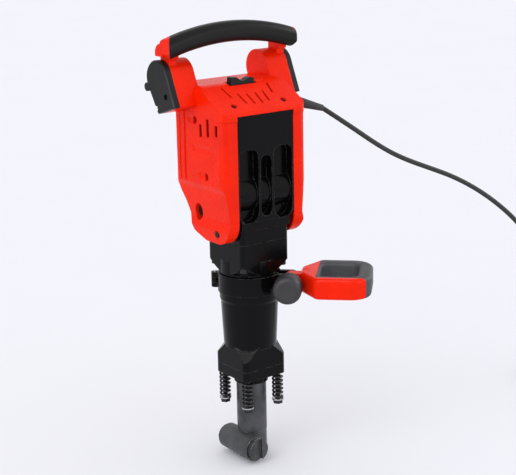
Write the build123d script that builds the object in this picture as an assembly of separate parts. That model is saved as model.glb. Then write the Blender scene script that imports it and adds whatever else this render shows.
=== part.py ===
from build123d import *
import math
import os

# An electric breaker hammer. Millimetres, +Z up. The origin is on the tool axis at the mouth of the
# tool holder. The machine's front, with the bare casting, faces -Y, and the top handle runs along X.

# ---- Clearances ----
running = 0.05          # radial play of a shaft or piston that turns or slides
gap = 0.3               # space between two bodies that move past each other
seat = 0.1              # space beside a piece that is bolted in place
snug = 0.01             # space round a pin, a bearing or a sleeve that is pressed in
through = 1.0           # how far a cutting tool stands past the wall that it cuts

# ---- Tool holder and front cover ----
holder_radius = 23.7
holder_lip_radius = 23.2
holder_lip_top = 44.0
holder_top = 180.0
holder_flange_radius = 31.0
holder_flange_height = 9.5
shank_hex = 30.4
shank_hex_depth = 66.0
shank_bore_radius = 11.3
holder_bore_radius = 15.0
bush_bottom = 68.0
bush_top = 116.0
retainer_x = -20.0
retainer_z = 24.0
retainer_radius = 8.0
retainer_boss_radius = 20.0
retainer_boss_half = 37.0
retainer_head_height = 7.0
retainer_cap_height = 5.0
cover_half_side = 40.0
cover_corner = 8.6
cover_bottom = 140.0
cover_split = 156.0
cover_rim_radius = 27.0
cover_rim_bottom = 127.0
damper_offset = 29.8
damper_bolt_radius = 4.0
damper_head_bottom = 88.0
damper_head_height = 6.0
damper_head_across = 14.0
damper_washer_radius = 9.5
damper_washer_height = 2.0
damper_bolt_top = 170.0
damper_coil_radius = 7.4
damper_wire_radius = 1.9
damper_coils = 6

# ---- Hammer train ----
liner_bore_radius = 24.0
liner_wall = 5.0
liner_bottom = 186.0
liner_top = 306.0
bolt_tip_radius = 10.9
bolt_tip_bottom = 116.5
bolt_shoulder_bottom = 134.0
bolt_shoulder_top = 166.0
bolt_tail_radius = 11.0
bolt_tail_top = 192.0
buffer_height = 10.0
striker_bottom = 200.0
striker_height = 40.0
piston_height = 21.0
piston_ear_thickness = 4.0
ring_section = 1.6
wrist_pin_radius = 5.0
rod_length = 51.0
rod_half_thickness = 6.0
rod_small_radius = 9.5
rod_big_radius = 12.0
rod_web_half = 6.0
crank_throw = 16.0
crank_pin_radius = 6.0
crank_z = 348.0
crank_face_y = 11.0
crank_shaft_radius = 7.0
crank_bearing_radius = 11.5
crank_bearing_width = 8.0

# ---- Bevel gears ----
pinion_teeth = 9
gear_teeth = 36
pinion_pitch_radius = 8.0
bevel_face = 8.0
tooth_share = 0.40      # thickness of a tooth at the pitch cone, as a share of the tooth pitch

# ---- Motor ----
motor_y = 32.0
core_bottom = 456.0
core_top = 504.0
armature_radius = 22.0
air_gap = 0.8
stator_radius = 37.0
motor_shell = 2.5
motor_shaft_radius = 6.0
motor_shaft_top = 536.0
commutator_radius = 15.0
commutator_bottom = 398.5
commutator_top = 418.0
motor_bearing_radius = 13.0
motor_bearing_width = 8.0
lower_bearing_bottom = 387.0
upper_bearing_bottom = 525.0
fan_radius = 36.0
fan_bottom = 508.0
fan_height = 11.0
fan_blades = 11
fan_plate = 2.0
fan_hub_radius = 12.0
brush_z = 407.0
brush_half = 3.2
brush_length = 15.0
brush_holder_radius = 8.5
brush_holder_end = 58.0
brush_bore_end = 52.0
brush_cap_radius = 8.2
brush_cap_height = 5.0

# ---- Cylinder case ----
barrel_radius = 45.0
barrel_foot_radius = 41.5
foot_top = 192.0
foot_facet_bottom = 172.0
foot_facet_slope = 38.0
barrel_top = 262.0
neck_radius = 46.5
clamp_seat_radius = 42.5
clamp_seat_bottom = 276.0
clamp_seat_top = 308.0
case_block_half = 45.0
case_block_bottom = 331.0
bowl_top_radius = 64.0
case_split = 362.0
case_wall = 5.0
block_corner = 7.0
flange_bolt_offset = 36.5
flange_bolt_radius = 4.0
flange_bolt_head_radius = 6.5
flange_bolt_head_height = 7.0

# ---- Crankcase ----
slab_half = 52.0
slab_clearance = 0.4    # space between the casting's window face and the shells round it
slab_front = -49.4
slab_back = -12.0
slab_bottom = 397.0
slab_top = 559.5
pocket_floor = -36.0
pocket_drum_radius = 33.0
pocket_drum_y = -13.0
pocket_drum_z = 437.0

# ---- Housing shells ----
body_half = 78.0
body_front = -50.0
body_back = 80.0
body_top = 600.0
shell_wall = 3.0
seam_z = 563.0
seam_front_z = 553.0
seam_gap = 0.25
window_half = slab_half + slab_clearance
window_top = 560.0
side_screws = [(22.6, 550.0), (-4.0, 467.0), (-17.7, 380.0)]
screw_head_radius = 4.4
screw_head_height = 3.0
screw_radius = 2.2
screw_well_radius = 6.0
screw_well_depth = 9.0
screw_boss_radius = 8.2
screw_boss_depth = 24.0
side_slots = [(8.0, 526.0, 545.5), (-10.4, 528.0, 555.0), (-31.8, 531.0, 548.0)]
side_slot_width = 6.5
dent_radius = 9.0
dent_depth = 2.0
cap_screw_x = slab_half - 6.0
cap_screw_y = -34.0

# ---- Handle ----
arm_inner = body_half - 10.0
arm_outer = arm_inner + 40.0
arm_cap_thickness = 11.0
arm_centre = (60.0, 612.0)
arm_round = 27.0
arm_screws = [(35.5, 587.0), (61.5, 568.0)]
handle_end = arm_outer + 10.0
handle_front = 20.0
handle_depth = 30.0
handle_apex = 690.0
handle_end_top = 671.5
handle_height = 31.0
handle_rounding = 12.0
handle_core_radius = 8.0
handle_leg_inner = arm_inner + 26.0
handle_leg_outer = arm_outer - 0.5
handle_leg_bottom = 592.0
handle_spring_bottom = 572.0

# ---- Switch ----
switch_half = 24.0
switch_y = 12.0
switch_depth = 14.0
switch_pivot_z = 598.0
switch_pivot_radius = 2.0

# ---- Side handle ----
grip_heading = -45.0    # where the side handle points, as an angle about the tool axis
clamp_outer_radius = 49.0
clamp_bottom = 277.0
clamp_top = 307.0
clamp_slit = 1.0
lug_inner = 9.2
lug_outer = 15.0
lug_radius = 13.0
lug_bolt_s = 66.0
clamp_bolt_radius = 5.0
hinge_s = -53.0
hinge_radius = 6.5
hinge_pin_radius = 2.5
tongue_radius = 13.0
loop_near = 82.0
loop_far = 192.0
loop_half = 56.0
loop_bar = 21.0
loop_root = 30.0
loop_bottom = 277.5
loop_top = 311.0
loop_corner = 32.0
knob_radius = 22.0
knob_near = 30.0
knob_far = 62.0
knob_bore_depth = 14.0

# ---- Cord ----
cord_diameter = 8.0
guard_start = (79.0, -4.0, 566.5)
guard_end = (146.0, -6.5, 545.5)
guard_base_radius = 9.5
guard_tip_radius = 5.2
cord_route = [
    guard_end,
    (188.0, -24.0, 514.0),
    (222.0, -37.0, 487.5),
    (253.0, -48.0, 466.0),
    (285.0, -59.5, 449.0),
    (320.0, -72.0, 434.0),
    (357.0, -85.5, 417.5),
    (395.0, -99.5, 395.0),
    (432.0, -113.0, 367.0),
    (468.0, -126.0, 333.0),
    (506.0, -140.0, 286.0),
    (539.0, -153.0, 230.0),
    (562.0, -161.0, 170.0),
    (577.0, -167.0, 113.0),
    (590.0, -171.0, 64.0),
    (614.0, -178.0, 21.0),
    (645.0, -190.0, 4.0),
    (672.0, -199.5, 4.0),
]
coil_centre = (690.0, -142.0)
coil_mean_radius = 48.0
coil_columns = 4
coil_layers = 2


# ---- Helpers ----
def block(x, y, z):
    """Box from three (low, high) pairs."""
    size = [pair[1] - pair[0] for pair in (x, y, z)]
    middle = [(pair[1] + pair[0]) / 2 for pair in (x, y, z)]
    return Pos(*middle) * Box(*size)


def disc(radius, bottom, top, x=0.0, y=0.0):
    """Upright cylinder."""
    return Pos(x, y, (bottom + top) / 2) * Cylinder(radius, top - bottom)


def tube(outer, inner, bottom, top, x=0.0, y=0.0):
    """Upright cylinder with a bore through it."""
    return disc(outer, bottom, top, x, y) - disc(inner, bottom - through, top + through, x, y)


def bar_x(radius, low, high, y, z):
    """Cylinder along X."""
    return Pos((low + high) / 2, y, z) * Rot(0, 90, 0) * Cylinder(radius, high - low)


def bar_y(radius, low, high, x, z):
    """Cylinder along Y."""
    return Pos(x, (low + high) / 2, z) * Rot(90, 0, 0) * Cylinder(radius, high - low)


def rounded_face(points, radii):
    """Flat face with a radius at each corner."""
    return make_face(FilletPolyline(*points, radius=radii, close=True).edges())


def prism_x(face, low, high):
    """Solid from a face drawn as (Y, Z), from one X to another."""
    return extrude(Plane.YZ.offset(low) * face, amount=high - low, dir=(1, 0, 0))


def prism_y(face, low, high):
    """Solid from a face drawn as (X, Z), from one Y to another."""
    return extrude(Plane.XZ.offset(-low) * face, amount=high - low, dir=(0, 1, 0))


def prism_z(face, low, high):
    """Solid from a face drawn as (X, Y), from one height to another."""
    return extrude(Plane.XY.offset(low) * face, amount=high - low, dir=(0, 0, 1))


def hexagon(across, bottom, top, x=0.0, y=0.0, turn=0.0):
    """Upright hexagonal prism."""
    face = RegularPolygon(across / 2, 6, major_radius=False, rotation=turn)
    return Pos(x, y, 0) * prism_z(face, bottom, top)


def group(shapes):
    """One shape that holds several separate solids."""
    solids = []
    for shape in shapes:
        solids += list(shape.solids())
    return Compound(children=solids)


def corners(offset):
    """The four places of a square pattern."""
    return [(x, y) for x in (-offset, offset) for y in (-offset, offset)]


def mirrored(shape):
    """The same shape on the other side of the machine."""
    return mirror(shape, about=Plane.YZ)


def turned_ring(points):
    """Ring about Z from (radius, Z) points."""
    face = Plane.XZ * make_face(Polyline(*points, close=True).edges())
    return revolve(face, axis=Axis.Z)


# ---- Tool holder and front cover ----
def tool_holder():
    """Steel tube with the hexagonal socket and the cross boss of the retainer."""
    flange_bottom = cover_split - gap - holder_flange_height
    body = disc(holder_radius, holder_lip_top, holder_top)
    body += disc(holder_lip_radius, 0, holder_lip_top)
    body += disc(holder_flange_radius, flange_bottom, cover_split - gap)
    body += bar_y(retainer_boss_radius, -retainer_boss_half, retainer_boss_half, retainer_x, retainer_z)
    body -= hexagon(shank_hex, -through, shank_hex_depth, turn=30)
    body -= disc(holder_bore_radius + running, shank_hex_depth - through, holder_top + through)
    body -= bar_y(retainer_radius + running, -retainer_boss_half - through,
                  retainer_boss_half + through, retainer_x, retainer_z)
    return body


def shank_bush():
    """Hardened sleeve that guides the round end of the chisel."""
    return tube(holder_bore_radius, shank_bore_radius, bush_bottom, bush_top)


def buffer_ring():
    """Rubber ring that stops the impact bolt at the top of its travel."""
    bottom = bolt_shoulder_top + gap
    return tube(holder_bore_radius, bolt_tail_radius + gap, bottom, bottom + buffer_height)


def retainer_pin():
    """Cross pin with a flat that lets the chisel go, and its slotted head."""
    front = -retainer_boss_half - gap
    pin = bar_y(retainer_radius, front, retainer_boss_half - through, retainer_x, retainer_z)
    flat_depth = retainer_radius * 0.75
    pin -= block((retainer_x - retainer_radius - through, retainer_x - retainer_radius + flat_depth),
                 (-shank_hex / 2 - through, shank_hex / 2 + through),
                 (retainer_z - retainer_radius - through, retainer_z + retainer_radius + through))
    head = bar_y(retainer_boss_radius - 2.5, front - retainer_head_height, front, retainer_x, retainer_z)
    slot = block((retainer_x - 6.5, retainer_x + 6.5),
                 (front - retainer_head_height - through, front - 2.0),
                 (retainer_z - 30, retainer_z + 30))
    return pin + (head - slot)


def retainer_cap():
    """Rubber cap over the far end of the pin."""
    start = retainer_boss_half
    return bar_y(retainer_boss_radius - 3.0, start, start + retainer_cap_height, retainer_x, retainer_z)


def cover_face(half, corner):
    """Square with round corners."""
    return RectangleRounded(2 * half, 2 * half, corner)


def front_cover():
    """Sprung square plate that holds the tool holder."""
    top = cover_split - gap
    body = prism_z(cover_face(cover_half_side, cover_corner), cover_bottom, top)
    body += disc(cover_rim_radius, cover_rim_bottom, cover_bottom)
    body -= disc(holder_radius + seat, cover_rim_bottom - through, top + through)
    body -= disc(holder_flange_radius + seat, top - holder_flange_height, top + through)
    for x, y in corners(damper_offset):
        body -= disc(damper_bolt_radius + gap, cover_bottom - through, top + through, x, y)
    return body


def damper_bolts():
    """Four long bolts that the front cover slides on."""
    head_top = damper_head_bottom + damper_head_height
    bolts = []
    for x, y in corners(damper_offset):
        bolt = hexagon(damper_head_across, damper_head_bottom, head_top, x, y)
        bolts.append(bolt + disc(damper_bolt_radius, head_top, damper_bolt_top, x, y))
    return group(bolts)


def damper_washers():
    """Washers between the bolt heads and the springs."""
    bottom = damper_head_bottom + damper_head_height
    top = bottom + damper_washer_height
    bore = damper_bolt_radius + seat
    return group([tube(damper_washer_radius, bore, bottom, top, x, y) for x, y in corners(damper_offset)])


def coil_spring(radius, wire, coils, bottom, top):
    """Round-wire compression spring standing on Z."""
    height = top - bottom - 2 * wire
    path = Helix(pitch=height / coils, height=height, radius=radius)
    section = Plane(origin=path @ 0, z_dir=path % 0) * Circle(wire)
    return Pos(0, 0, bottom + wire) * sweep(section, path=path, is_frenet=True)


def damper_springs():
    """Four springs that carry the front cover."""
    bottom = damper_head_bottom + damper_head_height + damper_washer_height + seat
    spring = coil_spring(damper_coil_radius, damper_wire_radius, damper_coils, bottom, cover_bottom - seat)
    return group([Pos(x, y, 0) * spring for x, y in corners(damper_offset)])


# ---- Hammer train ----
def impact_bolt():
    """Bolt that passes the blow from the striker to the chisel."""
    body = disc(bolt_tip_radius, bolt_tip_bottom, bolt_shoulder_bottom)
    body += disc(holder_bore_radius - running, bolt_shoulder_bottom, bolt_shoulder_top)
    body += disc(bolt_tail_radius, bolt_shoulder_top, bolt_tail_top)
    return body


def cylinder_liner():
    """Ground sleeve that the striker and the piston run in."""
    return tube(liner_bore_radius + liner_wall, liner_bore_radius, liner_bottom, liner_top)


def striker():
    """Free steel ram driven by the air between it and the piston."""
    radius = liner_bore_radius - running
    body = disc(radius, striker_bottom, striker_bottom + striker_height)
    body -= ring_groove(radius, striker_bottom + striker_height / 2)
    return body


def ring_groove(radius, height):
    """Groove for one sealing ring."""
    return tube(radius + through, radius - 2 * ring_section, height - ring_section, height + ring_section)


def sealing_ring(radius, height):
    """Rubber ring in its groove."""
    half = ring_section - seat
    return tube(radius, radius - 2 * ring_section + seat, height - half, height + half)


wrist_z = crank_z - crank_throw - rod_length
piston_bottom = wrist_z - 10.0 - piston_height
piston_grooves = (piston_bottom + 6.0, piston_bottom + 14.0)


def piston():
    """Drive piston with two ears for the wrist pin."""
    radius = liner_bore_radius - running
    top = piston_bottom + piston_height
    body = disc(radius, piston_bottom, top)
    ear = block((-9.0, 9.0), (rod_half_thickness + gap, rod_half_thickness + gap + piston_ear_thickness),
                (top - through, wrist_z))
    ear += bar_y(9.0, rod_half_thickness + gap, rod_half_thickness + gap + piston_ear_thickness, 0, wrist_z)
    body += ear + mirror(ear, about=Plane.XZ)
    body -= bar_y(wrist_pin_radius + snug, -20, 20, 0, wrist_z)
    for height in piston_grooves:
        body -= ring_groove(radius, height)
    return body


def piston_rings():
    """Rubber rings of the piston."""
    return group([sealing_ring(liner_bore_radius - running, height) for height in piston_grooves])


def striker_ring():
    """Rubber ring of the striker."""
    return sealing_ring(liner_bore_radius - running, striker_bottom + striker_height / 2)


def wrist_pin():
    """Pin that joins the rod to the piston."""
    reach = rod_half_thickness + gap + piston_ear_thickness
    return bar_y(wrist_pin_radius, -reach, reach, 0, wrist_z)


def connecting_rod():
    """Rod between the crank pin and the piston, standing at the bottom dead centre."""
    pin_z = crank_z - crank_throw
    rod = bar_y(rod_big_radius, -rod_half_thickness, rod_half_thickness, 0, pin_z)
    rod += bar_y(rod_small_radius, -rod_half_thickness, rod_half_thickness, 0, wrist_z)
    rod += block((-rod_web_half, rod_web_half), (-rod_half_thickness, rod_half_thickness), (wrist_z, pin_z))
    rod -= bar_y(crank_pin_radius + snug, -20, 20, 0, pin_z)
    rod -= bar_y(wrist_pin_radius + running, -20, 20, 0, wrist_z)
    return rod


def crank_pin():
    """Crank pin, which stands clear of the crank's face by the gap of the opened pivot."""
    return bar_y(crank_pin_radius, -rod_half_thickness, crank_face_y - gap, 0, crank_z - crank_throw)


# ---- Bevel gears ----
gear_pitch_radius = pinion_pitch_radius * gear_teeth / pinion_teeth
cone_length = math.hypot(gear_pitch_radius, pinion_pitch_radius)
tooth_module = 2 * gear_pitch_radius / gear_teeth
apex_y = motor_y


def bevel_teeth(count, pitch_radius, other_radius, phase):
    """Teeth of a bevel gear whose cone opens along +Z from the origin."""
    teeth = []
    near = (cone_length - bevel_face / 2) / cone_length
    far = (cone_length + bevel_face / 2) / cone_length
    slope = math.atan2(pitch_radius, other_radius)
    outward = Vector(math.cos(slope), 0, -math.sin(slope))
    half = tooth_share * math.pi * tooth_module / 2
    ends = []
    for share in (near, far):
        middle = Vector(pitch_radius * share, 0, other_radius * share)
        along = Vector(math.sin(slope), 0, math.cos(slope))
        plane = Plane(origin=middle, x_dir=outward, z_dir=along)
        root = -1.15 * tooth_module * share
        tip = 0.75 * tooth_module * share
        face = Polygon((root, -1.35 * half * share), (tip, -0.55 * half * share),
                       (tip, 0.55 * half * share), (root, 1.35 * half * share), align=None)
        ends.append(plane * face)
    tooth = loft(ends)
    for index in range(count):
        teeth.append(Rot(0, 0, phase + 360.0 * index / count) * tooth)
    return teeth


def bevel_blank(pitch_radius, other_radius, back):
    """Cone under the teeth, from its far end back by a thickness."""
    near = (cone_length - bevel_face / 2) / cone_length
    far = (cone_length + bevel_face / 2) / cone_length
    slope = math.atan2(pitch_radius, other_radius)
    sink = 1.0 * tooth_module
    points = [(0, other_radius * near + sink * math.sin(slope) * near)]
    for share in (near, far):
        points.append((pitch_radius * share - sink * share * math.cos(slope),
                       other_radius * share + sink * share * math.sin(slope)))
    points.append((points[-1][0], points[-1][1] + back))
    points.append((0, points[-1][1]))
    return turned_ring(points)


def crank_gear():
    """Bevel crown gear with the crank's face and its shaft; it turns about Y."""
    gear = bevel_blank(gear_pitch_radius, pinion_pitch_radius, 4.0)
    for tooth in bevel_teeth(gear_teeth, gear_pitch_radius, pinion_pitch_radius, 360.0 / gear_teeth / 2):
        gear += tooth
    placed = Pos(0, apex_y, crank_z) * Rot(90, 0, 0) * gear
    placed += bar_y(gear_pitch_radius - 5.0, crank_face_y, crank_face_y + 7.0, 0, crank_z)
    placed += bar_y(crank_shaft_radius, crank_face_y + 5.0, case_block_half - through, 0, crank_z)
    return placed


def motor_pinion():
    """Bevel pinion on the lower end of the motor shaft."""
    pinion = bevel_blank(pinion_pitch_radius, gear_pitch_radius, 0.6)
    for tooth in bevel_teeth(pinion_teeth, pinion_pitch_radius, gear_pitch_radius, -90.0):
        pinion += tooth
    pinion = Pos(0, apex_y, crank_z) * pinion
    return pinion


def ring_bearing(outer, inner, width):
    """Ball bearing with its two rings and cage as one closed ring with a groove on each face."""
    middle = (outer + inner) / 2
    ring = tube(outer, inner, 0, width)
    groove = tube(middle + 1.0, middle - 1.0, -through, 0.6)
    return ring - groove - Pos(0, 0, width) * Rot(180, 0, 0) * groove


def crank_bearings():
    """Two bearings of the crankshaft in the rear wall."""
    bearing = ring_bearing(crank_bearing_radius, crank_shaft_radius + running, crank_bearing_width)
    starts = (case_block_half - 2 * crank_bearing_width - 2.0, case_block_half - crank_bearing_width - 0.5)
    return group([Pos(0, start + crank_bearing_width, crank_z) * Rot(90, 0, 0) * bearing for start in starts])


# ---- Motor ----
def motor_shaft():
    """Shaft of the armature, with the laminated core around it."""
    pinion_back = crank_z + gear_pitch_radius * (cone_length + bevel_face / 2) / cone_length
    shaft = disc(motor_shaft_radius, pinion_back - 1.0, motor_shaft_top, 0, motor_y)
    return shaft - motor_pinion()


def armature_core():
    """Slotted core with its windings."""
    core = tube(armature_radius, motor_shaft_radius, core_bottom, core_top, 0, motor_y)
    for index in range(12):
        slot = block((armature_radius - 3.0, armature_radius + through), (-0.9, 0.9),
                     (core_bottom - through, core_top + through))
        core -= Pos(0, motor_y, 0) * Rot(0, 0, 30.0 * index) * slot
    coils = tube(armature_radius - 5.0, motor_shaft_radius, core_bottom - 12.0, core_bottom, 0, motor_y)
    return core + coils


def commutator():
    """Copper ring that the brushes run on."""
    return tube(commutator_radius, motor_shaft_radius, commutator_bottom, commutator_top, 0, motor_y)


def fan():
    """Cooling fan with straight blades under a disc."""
    top = fan_bottom + fan_height
    hub = tube(fan_hub_radius, motor_shaft_radius, fan_bottom, top, 0, motor_y)
    plate = tube(fan_radius, motor_shaft_radius, top - fan_plate, top, 0, motor_y)
    wheel = hub + plate
    for index in range(fan_blades):
        blade = block((fan_hub_radius - 1.0, fan_radius - 1.0), (-0.9, 0.9),
                      (fan_bottom, top - fan_plate / 2))
        wheel += Pos(0, motor_y, 0) * Rot(0, 0, 360.0 * index / fan_blades) * blade
    return wheel


def stator():
    """Field core around the armature."""
    return tube(stator_radius, armature_radius + air_gap, core_bottom, core_top, 0, motor_y)


def motor_frame():
    """Plastic frame that holds the field core, the lower brush ring and the upper bearing."""
    outer = stator_radius + motor_shell
    plate = upper_bearing_bottom + 2.0
    frame = tube(outer, stator_radius + seat, core_bottom - 2.0, plate, 0, motor_y)
    frame += tube(outer, motor_shaft_radius + 4.0, plate, plate + motor_bearing_width - 2.0, 0, motor_y)
    frame -= disc(motor_bearing_radius + seat, plate - through, plate + motor_bearing_width, 0, motor_y)
    frame += tube(27.0, 24.5, slab_bottom + seat, core_bottom - 2.0, 0, motor_y)
    frame += tube(outer, 24.5, core_bottom - 4.0, core_bottom - 2.0, 0, motor_y)
    for index in range(6):
        window = block((stator_radius - 2.0, outer + through), (-7.0, 7.0), (505.0, 521.0))
        frame -= Pos(0, motor_y, 0) * Rot(0, 0, 60.0 * index + 30.0) * window
    frame -= bar_x(brush_holder_radius + seat, -outer, outer, motor_y, brush_z)
    return (frame & body_form(shell_wall + gap)).solids().sort_by(SortBy.VOLUME)[-1]


def motor_bearings():
    """Upper and lower bearing of the motor shaft."""
    bearing = ring_bearing(motor_bearing_radius, motor_shaft_radius + running, motor_bearing_width)
    bottoms = (lower_bearing_bottom, upper_bearing_bottom)
    return group([Pos(0, motor_y, bottom) * bearing for bottom in bottoms])


def brush_holders():
    """Two tubes that guide the carbon brushes."""
    start = commutator_radius + 2.0
    holder = bar_x(brush_holder_radius, start, brush_holder_end, motor_y, brush_z)
    side = brush_half + running
    holder -= block((start - through, brush_bore_end), (motor_y - side, motor_y + side),
                    (brush_z - side, brush_z + side))
    holder -= bar_x(5.0, brush_bore_end - 2.0, brush_holder_end + through, motor_y, brush_z)
    return group([holder, mirrored(holder)])


def carbon_brushes():
    """Two carbon brushes, each a hair clear of the copper."""
    start = commutator_radius + seat
    brush = block((start, start + brush_length), (motor_y - brush_half, motor_y + brush_half),
                  (brush_z - brush_half, brush_z + brush_half))
    return group([brush, mirrored(brush)])


def brush_caps():
    """Slotted screw caps that hold the brushes in."""
    cap = bar_x(brush_cap_radius, 58.0, 58.0 + brush_cap_height, motor_y, brush_z)
    cap += bar_x(5.0 - seat, 53.0, 58.0, motor_y, brush_z)
    cap -= block((58.0 + brush_cap_height - 2.0, 58.0 + brush_cap_height + through),
                 (motor_y - 1.2, motor_y + 1.2), (brush_z - 6.0, brush_z + 6.0))
    return group([cap, mirrored(cap)])


# ---- Cylinder case ----
def square_face(half, radius):
    """Square with round corners."""
    return RectangleRounded(2 * half, 2 * half, radius)


def cylinder_case():
    """Cast barrel with the square foot below and the crank chamber's lower half above."""
    foot = prism_z(cover_face(cover_half_side, cover_corner), cover_split, foot_top)
    side = 2 * (cover_half_side * math.sqrt(2.0) - cover_corner * (math.sqrt(2.0) - 1.0))
    roof = Plane.XY.offset(foot_facet_bottom) * Rot(0, 0, 45.0) * Rectangle(side, side)
    roof = extrude(roof, amount=foot_top - foot_facet_bottom, taper=foot_facet_slope)
    body = foot & (roof + block((-80, 80), (-80, 80), (cover_split - through, foot_facet_bottom)))
    barrel_height = barrel_top - foot_top + 4.0
    body += Pos(0, 0, barrel_top - barrel_height / 2) * Cone(barrel_foot_radius, barrel_radius, barrel_height)
    body += disc(neck_radius, barrel_top + 4.0, case_block_bottom)
    body += Pos(0, 0, barrel_top + 2.0) * Cone(barrel_radius, neck_radius, 4.0)
    body -= tube(neck_radius + through, clamp_seat_radius, clamp_seat_bottom, clamp_seat_top)
    bowl_bottom = clamp_seat_top + 3.0
    bowl = Cone(neck_radius, bowl_top_radius, case_block_bottom - bowl_bottom)
    bowl = Pos(0, 0, (bowl_bottom + case_block_bottom) / 2) * bowl
    column = square_face(case_block_half, block_corner)
    body += (bowl & prism_z(column, bowl_bottom, case_split)) + prism_z(column, case_block_bottom, case_split)
    inner = case_block_half - case_wall
    rear = case_block_half - 2 * crank_bearing_width - 2.2
    body -= disc(holder_radius + 3 * gap, cover_split - through, liner_bottom)
    body -= disc(liner_bore_radius + liner_wall + snug, liner_bottom, liner_top)
    body -= disc(liner_bore_radius + liner_wall + 4.0, liner_top, case_split + through)
    body -= block((-inner, inner), (-inner, rear), (case_block_bottom + 3.0, case_split + through))
    body -= bar_y(crank_z - liner_top - 3.0, crank_face_y - 1.0, rear, 0, crank_z)
    body -= bar_y(crank_bearing_radius + 0.01, rear - through, case_block_half - 0.5, 0, crank_z)
    for x, y in corners(damper_offset):
        body -= disc(damper_bolt_radius + seat, cover_split - through, damper_bolt_top + 0.5, x, y)
    for x, y in corners(flange_bolt_offset):
        well_top = case_block_bottom - 6.0
        body -= disc(flange_bolt_head_radius + 1.5, bowl_bottom - 4.0, well_top, x, y)
        body -= disc(flange_bolt_radius + seat, well_top - through, case_split + through, x, y)
    return body


def flange_bolts():
    """Four socket bolts that join the cylinder case to the crankcase."""
    seat_z = case_block_bottom - 6.0
    bolts = []
    for x, y in corners(flange_bolt_offset):
        head = disc(flange_bolt_head_radius, seat_z - flange_bolt_head_height, seat_z, x, y)
        head -= hexagon(6.0, seat_z - flange_bolt_head_height - through, seat_z - 3.0, x, y)
        bolts.append(head + disc(flange_bolt_radius, seat_z, case_split + 14.0, x, y))
    return group(bolts)


# ---- Crankcase ----
def pocket(x_low, x_high, z_low, z_high):
    """Upright recess with round ends and a drum across its lower half."""
    radius = (x_high - x_low) / 2 - 0.2
    face = rounded_face([(x_low, z_low), (x_high, z_low), (x_high, z_high), (x_low, z_high)],
                        [radius, radius, min(radius, 12.0), min(radius, 12.0)])
    recess = prism_y(face, slab_front - through, pocket_floor)
    return recess - bar_x(pocket_drum_radius, x_low - through, x_high + through, pocket_drum_y, pocket_drum_z)


def crankcase():
    """Cast case: crank chamber's upper half, lower motor bearing and the ribbed front."""
    body = prism_z(square_face(case_block_half, block_corner), case_split, slab_bottom)
    slab_face = rounded_face([(-slab_half, slab_bottom), (slab_half, slab_bottom), (slab_half, slab_top),
                              (-slab_half, slab_top)], [14.0, 14.0, 1.0, 1.0])
    body += prism_y(slab_face, slab_front, slab_back)
    body += block((-case_block_half, case_block_half), (slab_front + 3.0, 0.0),
                  (slab_bottom - 14.0, slab_bottom + 2.0))
    inner = case_block_half - case_wall
    body -= block((-inner, inner), (-inner, inner), (case_split - through, lower_bearing_bottom - 1.5))
    body -= block((-slab_half + 5.0, slab_half - 5.0), (pocket_floor + 5.0, slab_back + through),
                  (slab_bottom + 9.0, slab_top - 5.0))
    body -= pocket(-10.5, 10.5, slab_bottom + 7.0, 497.0)
    body -= pocket(14.5, slab_half - 2.5, slab_bottom - 1.0, 508.0)
    body -= mirrored(pocket(14.5, slab_half - 2.5, slab_bottom - 1.0, 508.0))
    body -= disc(motor_bearing_radius + snug, lower_bearing_bottom, slab_bottom + through, 0, motor_y)
    body -= disc(motor_bearing_radius - 2.0, lower_bearing_bottom - 3.0, slab_bottom, 0, motor_y)
    body -= disc(pinion_pitch_radius + 3.5, case_split - through, lower_bearing_bottom - 1.5, 0, motor_y)
    for x in (-cap_screw_x, cap_screw_x):
        body -= slope_place(x, cap_screw_y) * Cylinder(screw_radius + seat, 60.0)
    for x, y in corners(flange_bolt_offset):
        body += disc(flange_bolt_radius + 2.5, case_split, lower_bearing_bottom - 1.5, x, y)
        body -= disc(flange_bolt_radius + seat, case_split - through, case_split + 14.5, x, y)
    return body


# ---- Housing shells ----
def body_form(inset):
    """Outer form of the plastic housing, or its inside for an inset of one wall."""
    side = rounded_face(
        [(body_front, 364.5), (14.0, 364.5), (43.0, 376.0), (53.0, 398.0), (62.0, 420.0), (71.0, 434.0),
         (body_back, 455.0), (body_back, body_top), (10.0, body_top), (body_front, 563.0)],
        [34.0, 22.0, 14.0, 20.0, 20.0, 14.0, 18.0, 9.0, 26.0, 7.0])
    right_corners = [(-11.0, 355.0), (-6.0, 386.0), (-10.0, 401.0), (-4.0, 446.0), (0.0, 453.0),
                     (1.0, 478.0), (0.0, 520.0), (0.0, body_top + 0.5)]
    front_corners = [(-1, *right_corners[0])] + [(1, *corner) for corner in right_corners]
    front_corners += [(-1, *corner) for corner in reversed(right_corners[1:])]
    front = rounded_face(
        [(side_sign * (body_half + step), height) for side_sign, step, height in front_corners],
        [2.0, 2.0, 5.0, 12.0, 16.0, 14.0, 60.0, 60.0, 12.0, 12.0, 60.0, 60.0, 14.0, 16.0, 12.0, 5.0])
    plan = RectangleRounded(2 * body_half + 3.0, body_back - body_front, 15.0)
    plan = Pos(0, (body_front + body_back) / 2) * plan
    side = offset(side, amount=-inset) if inset else side
    front = offset(front, amount=-inset) if inset else front
    plan = offset(plan, amount=-inset) if inset else plan
    form = prism_x(side, -body_half - 5.0, body_half + 5.0)
    form &= prism_y(front, body_front - 5.0, body_back + 5.0)
    return form & prism_z(plan, 340.0, body_top + 5.0)


def above_seam(shift):
    """Everything above the line where the cap meets the side covers."""
    points = [(body_back + 30.0, seam_z + shift), (body_back + 30.0, 720.0), (body_front - 30.0, 720.0),
              (body_front - 30.0, seam_front_z + shift), (-34.0, seam_front_z + shift),
              (14.0, seam_z + shift)]
    return prism_x(make_face(Polyline(*points, close=True).edges()), -120.0, 120.0)


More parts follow.
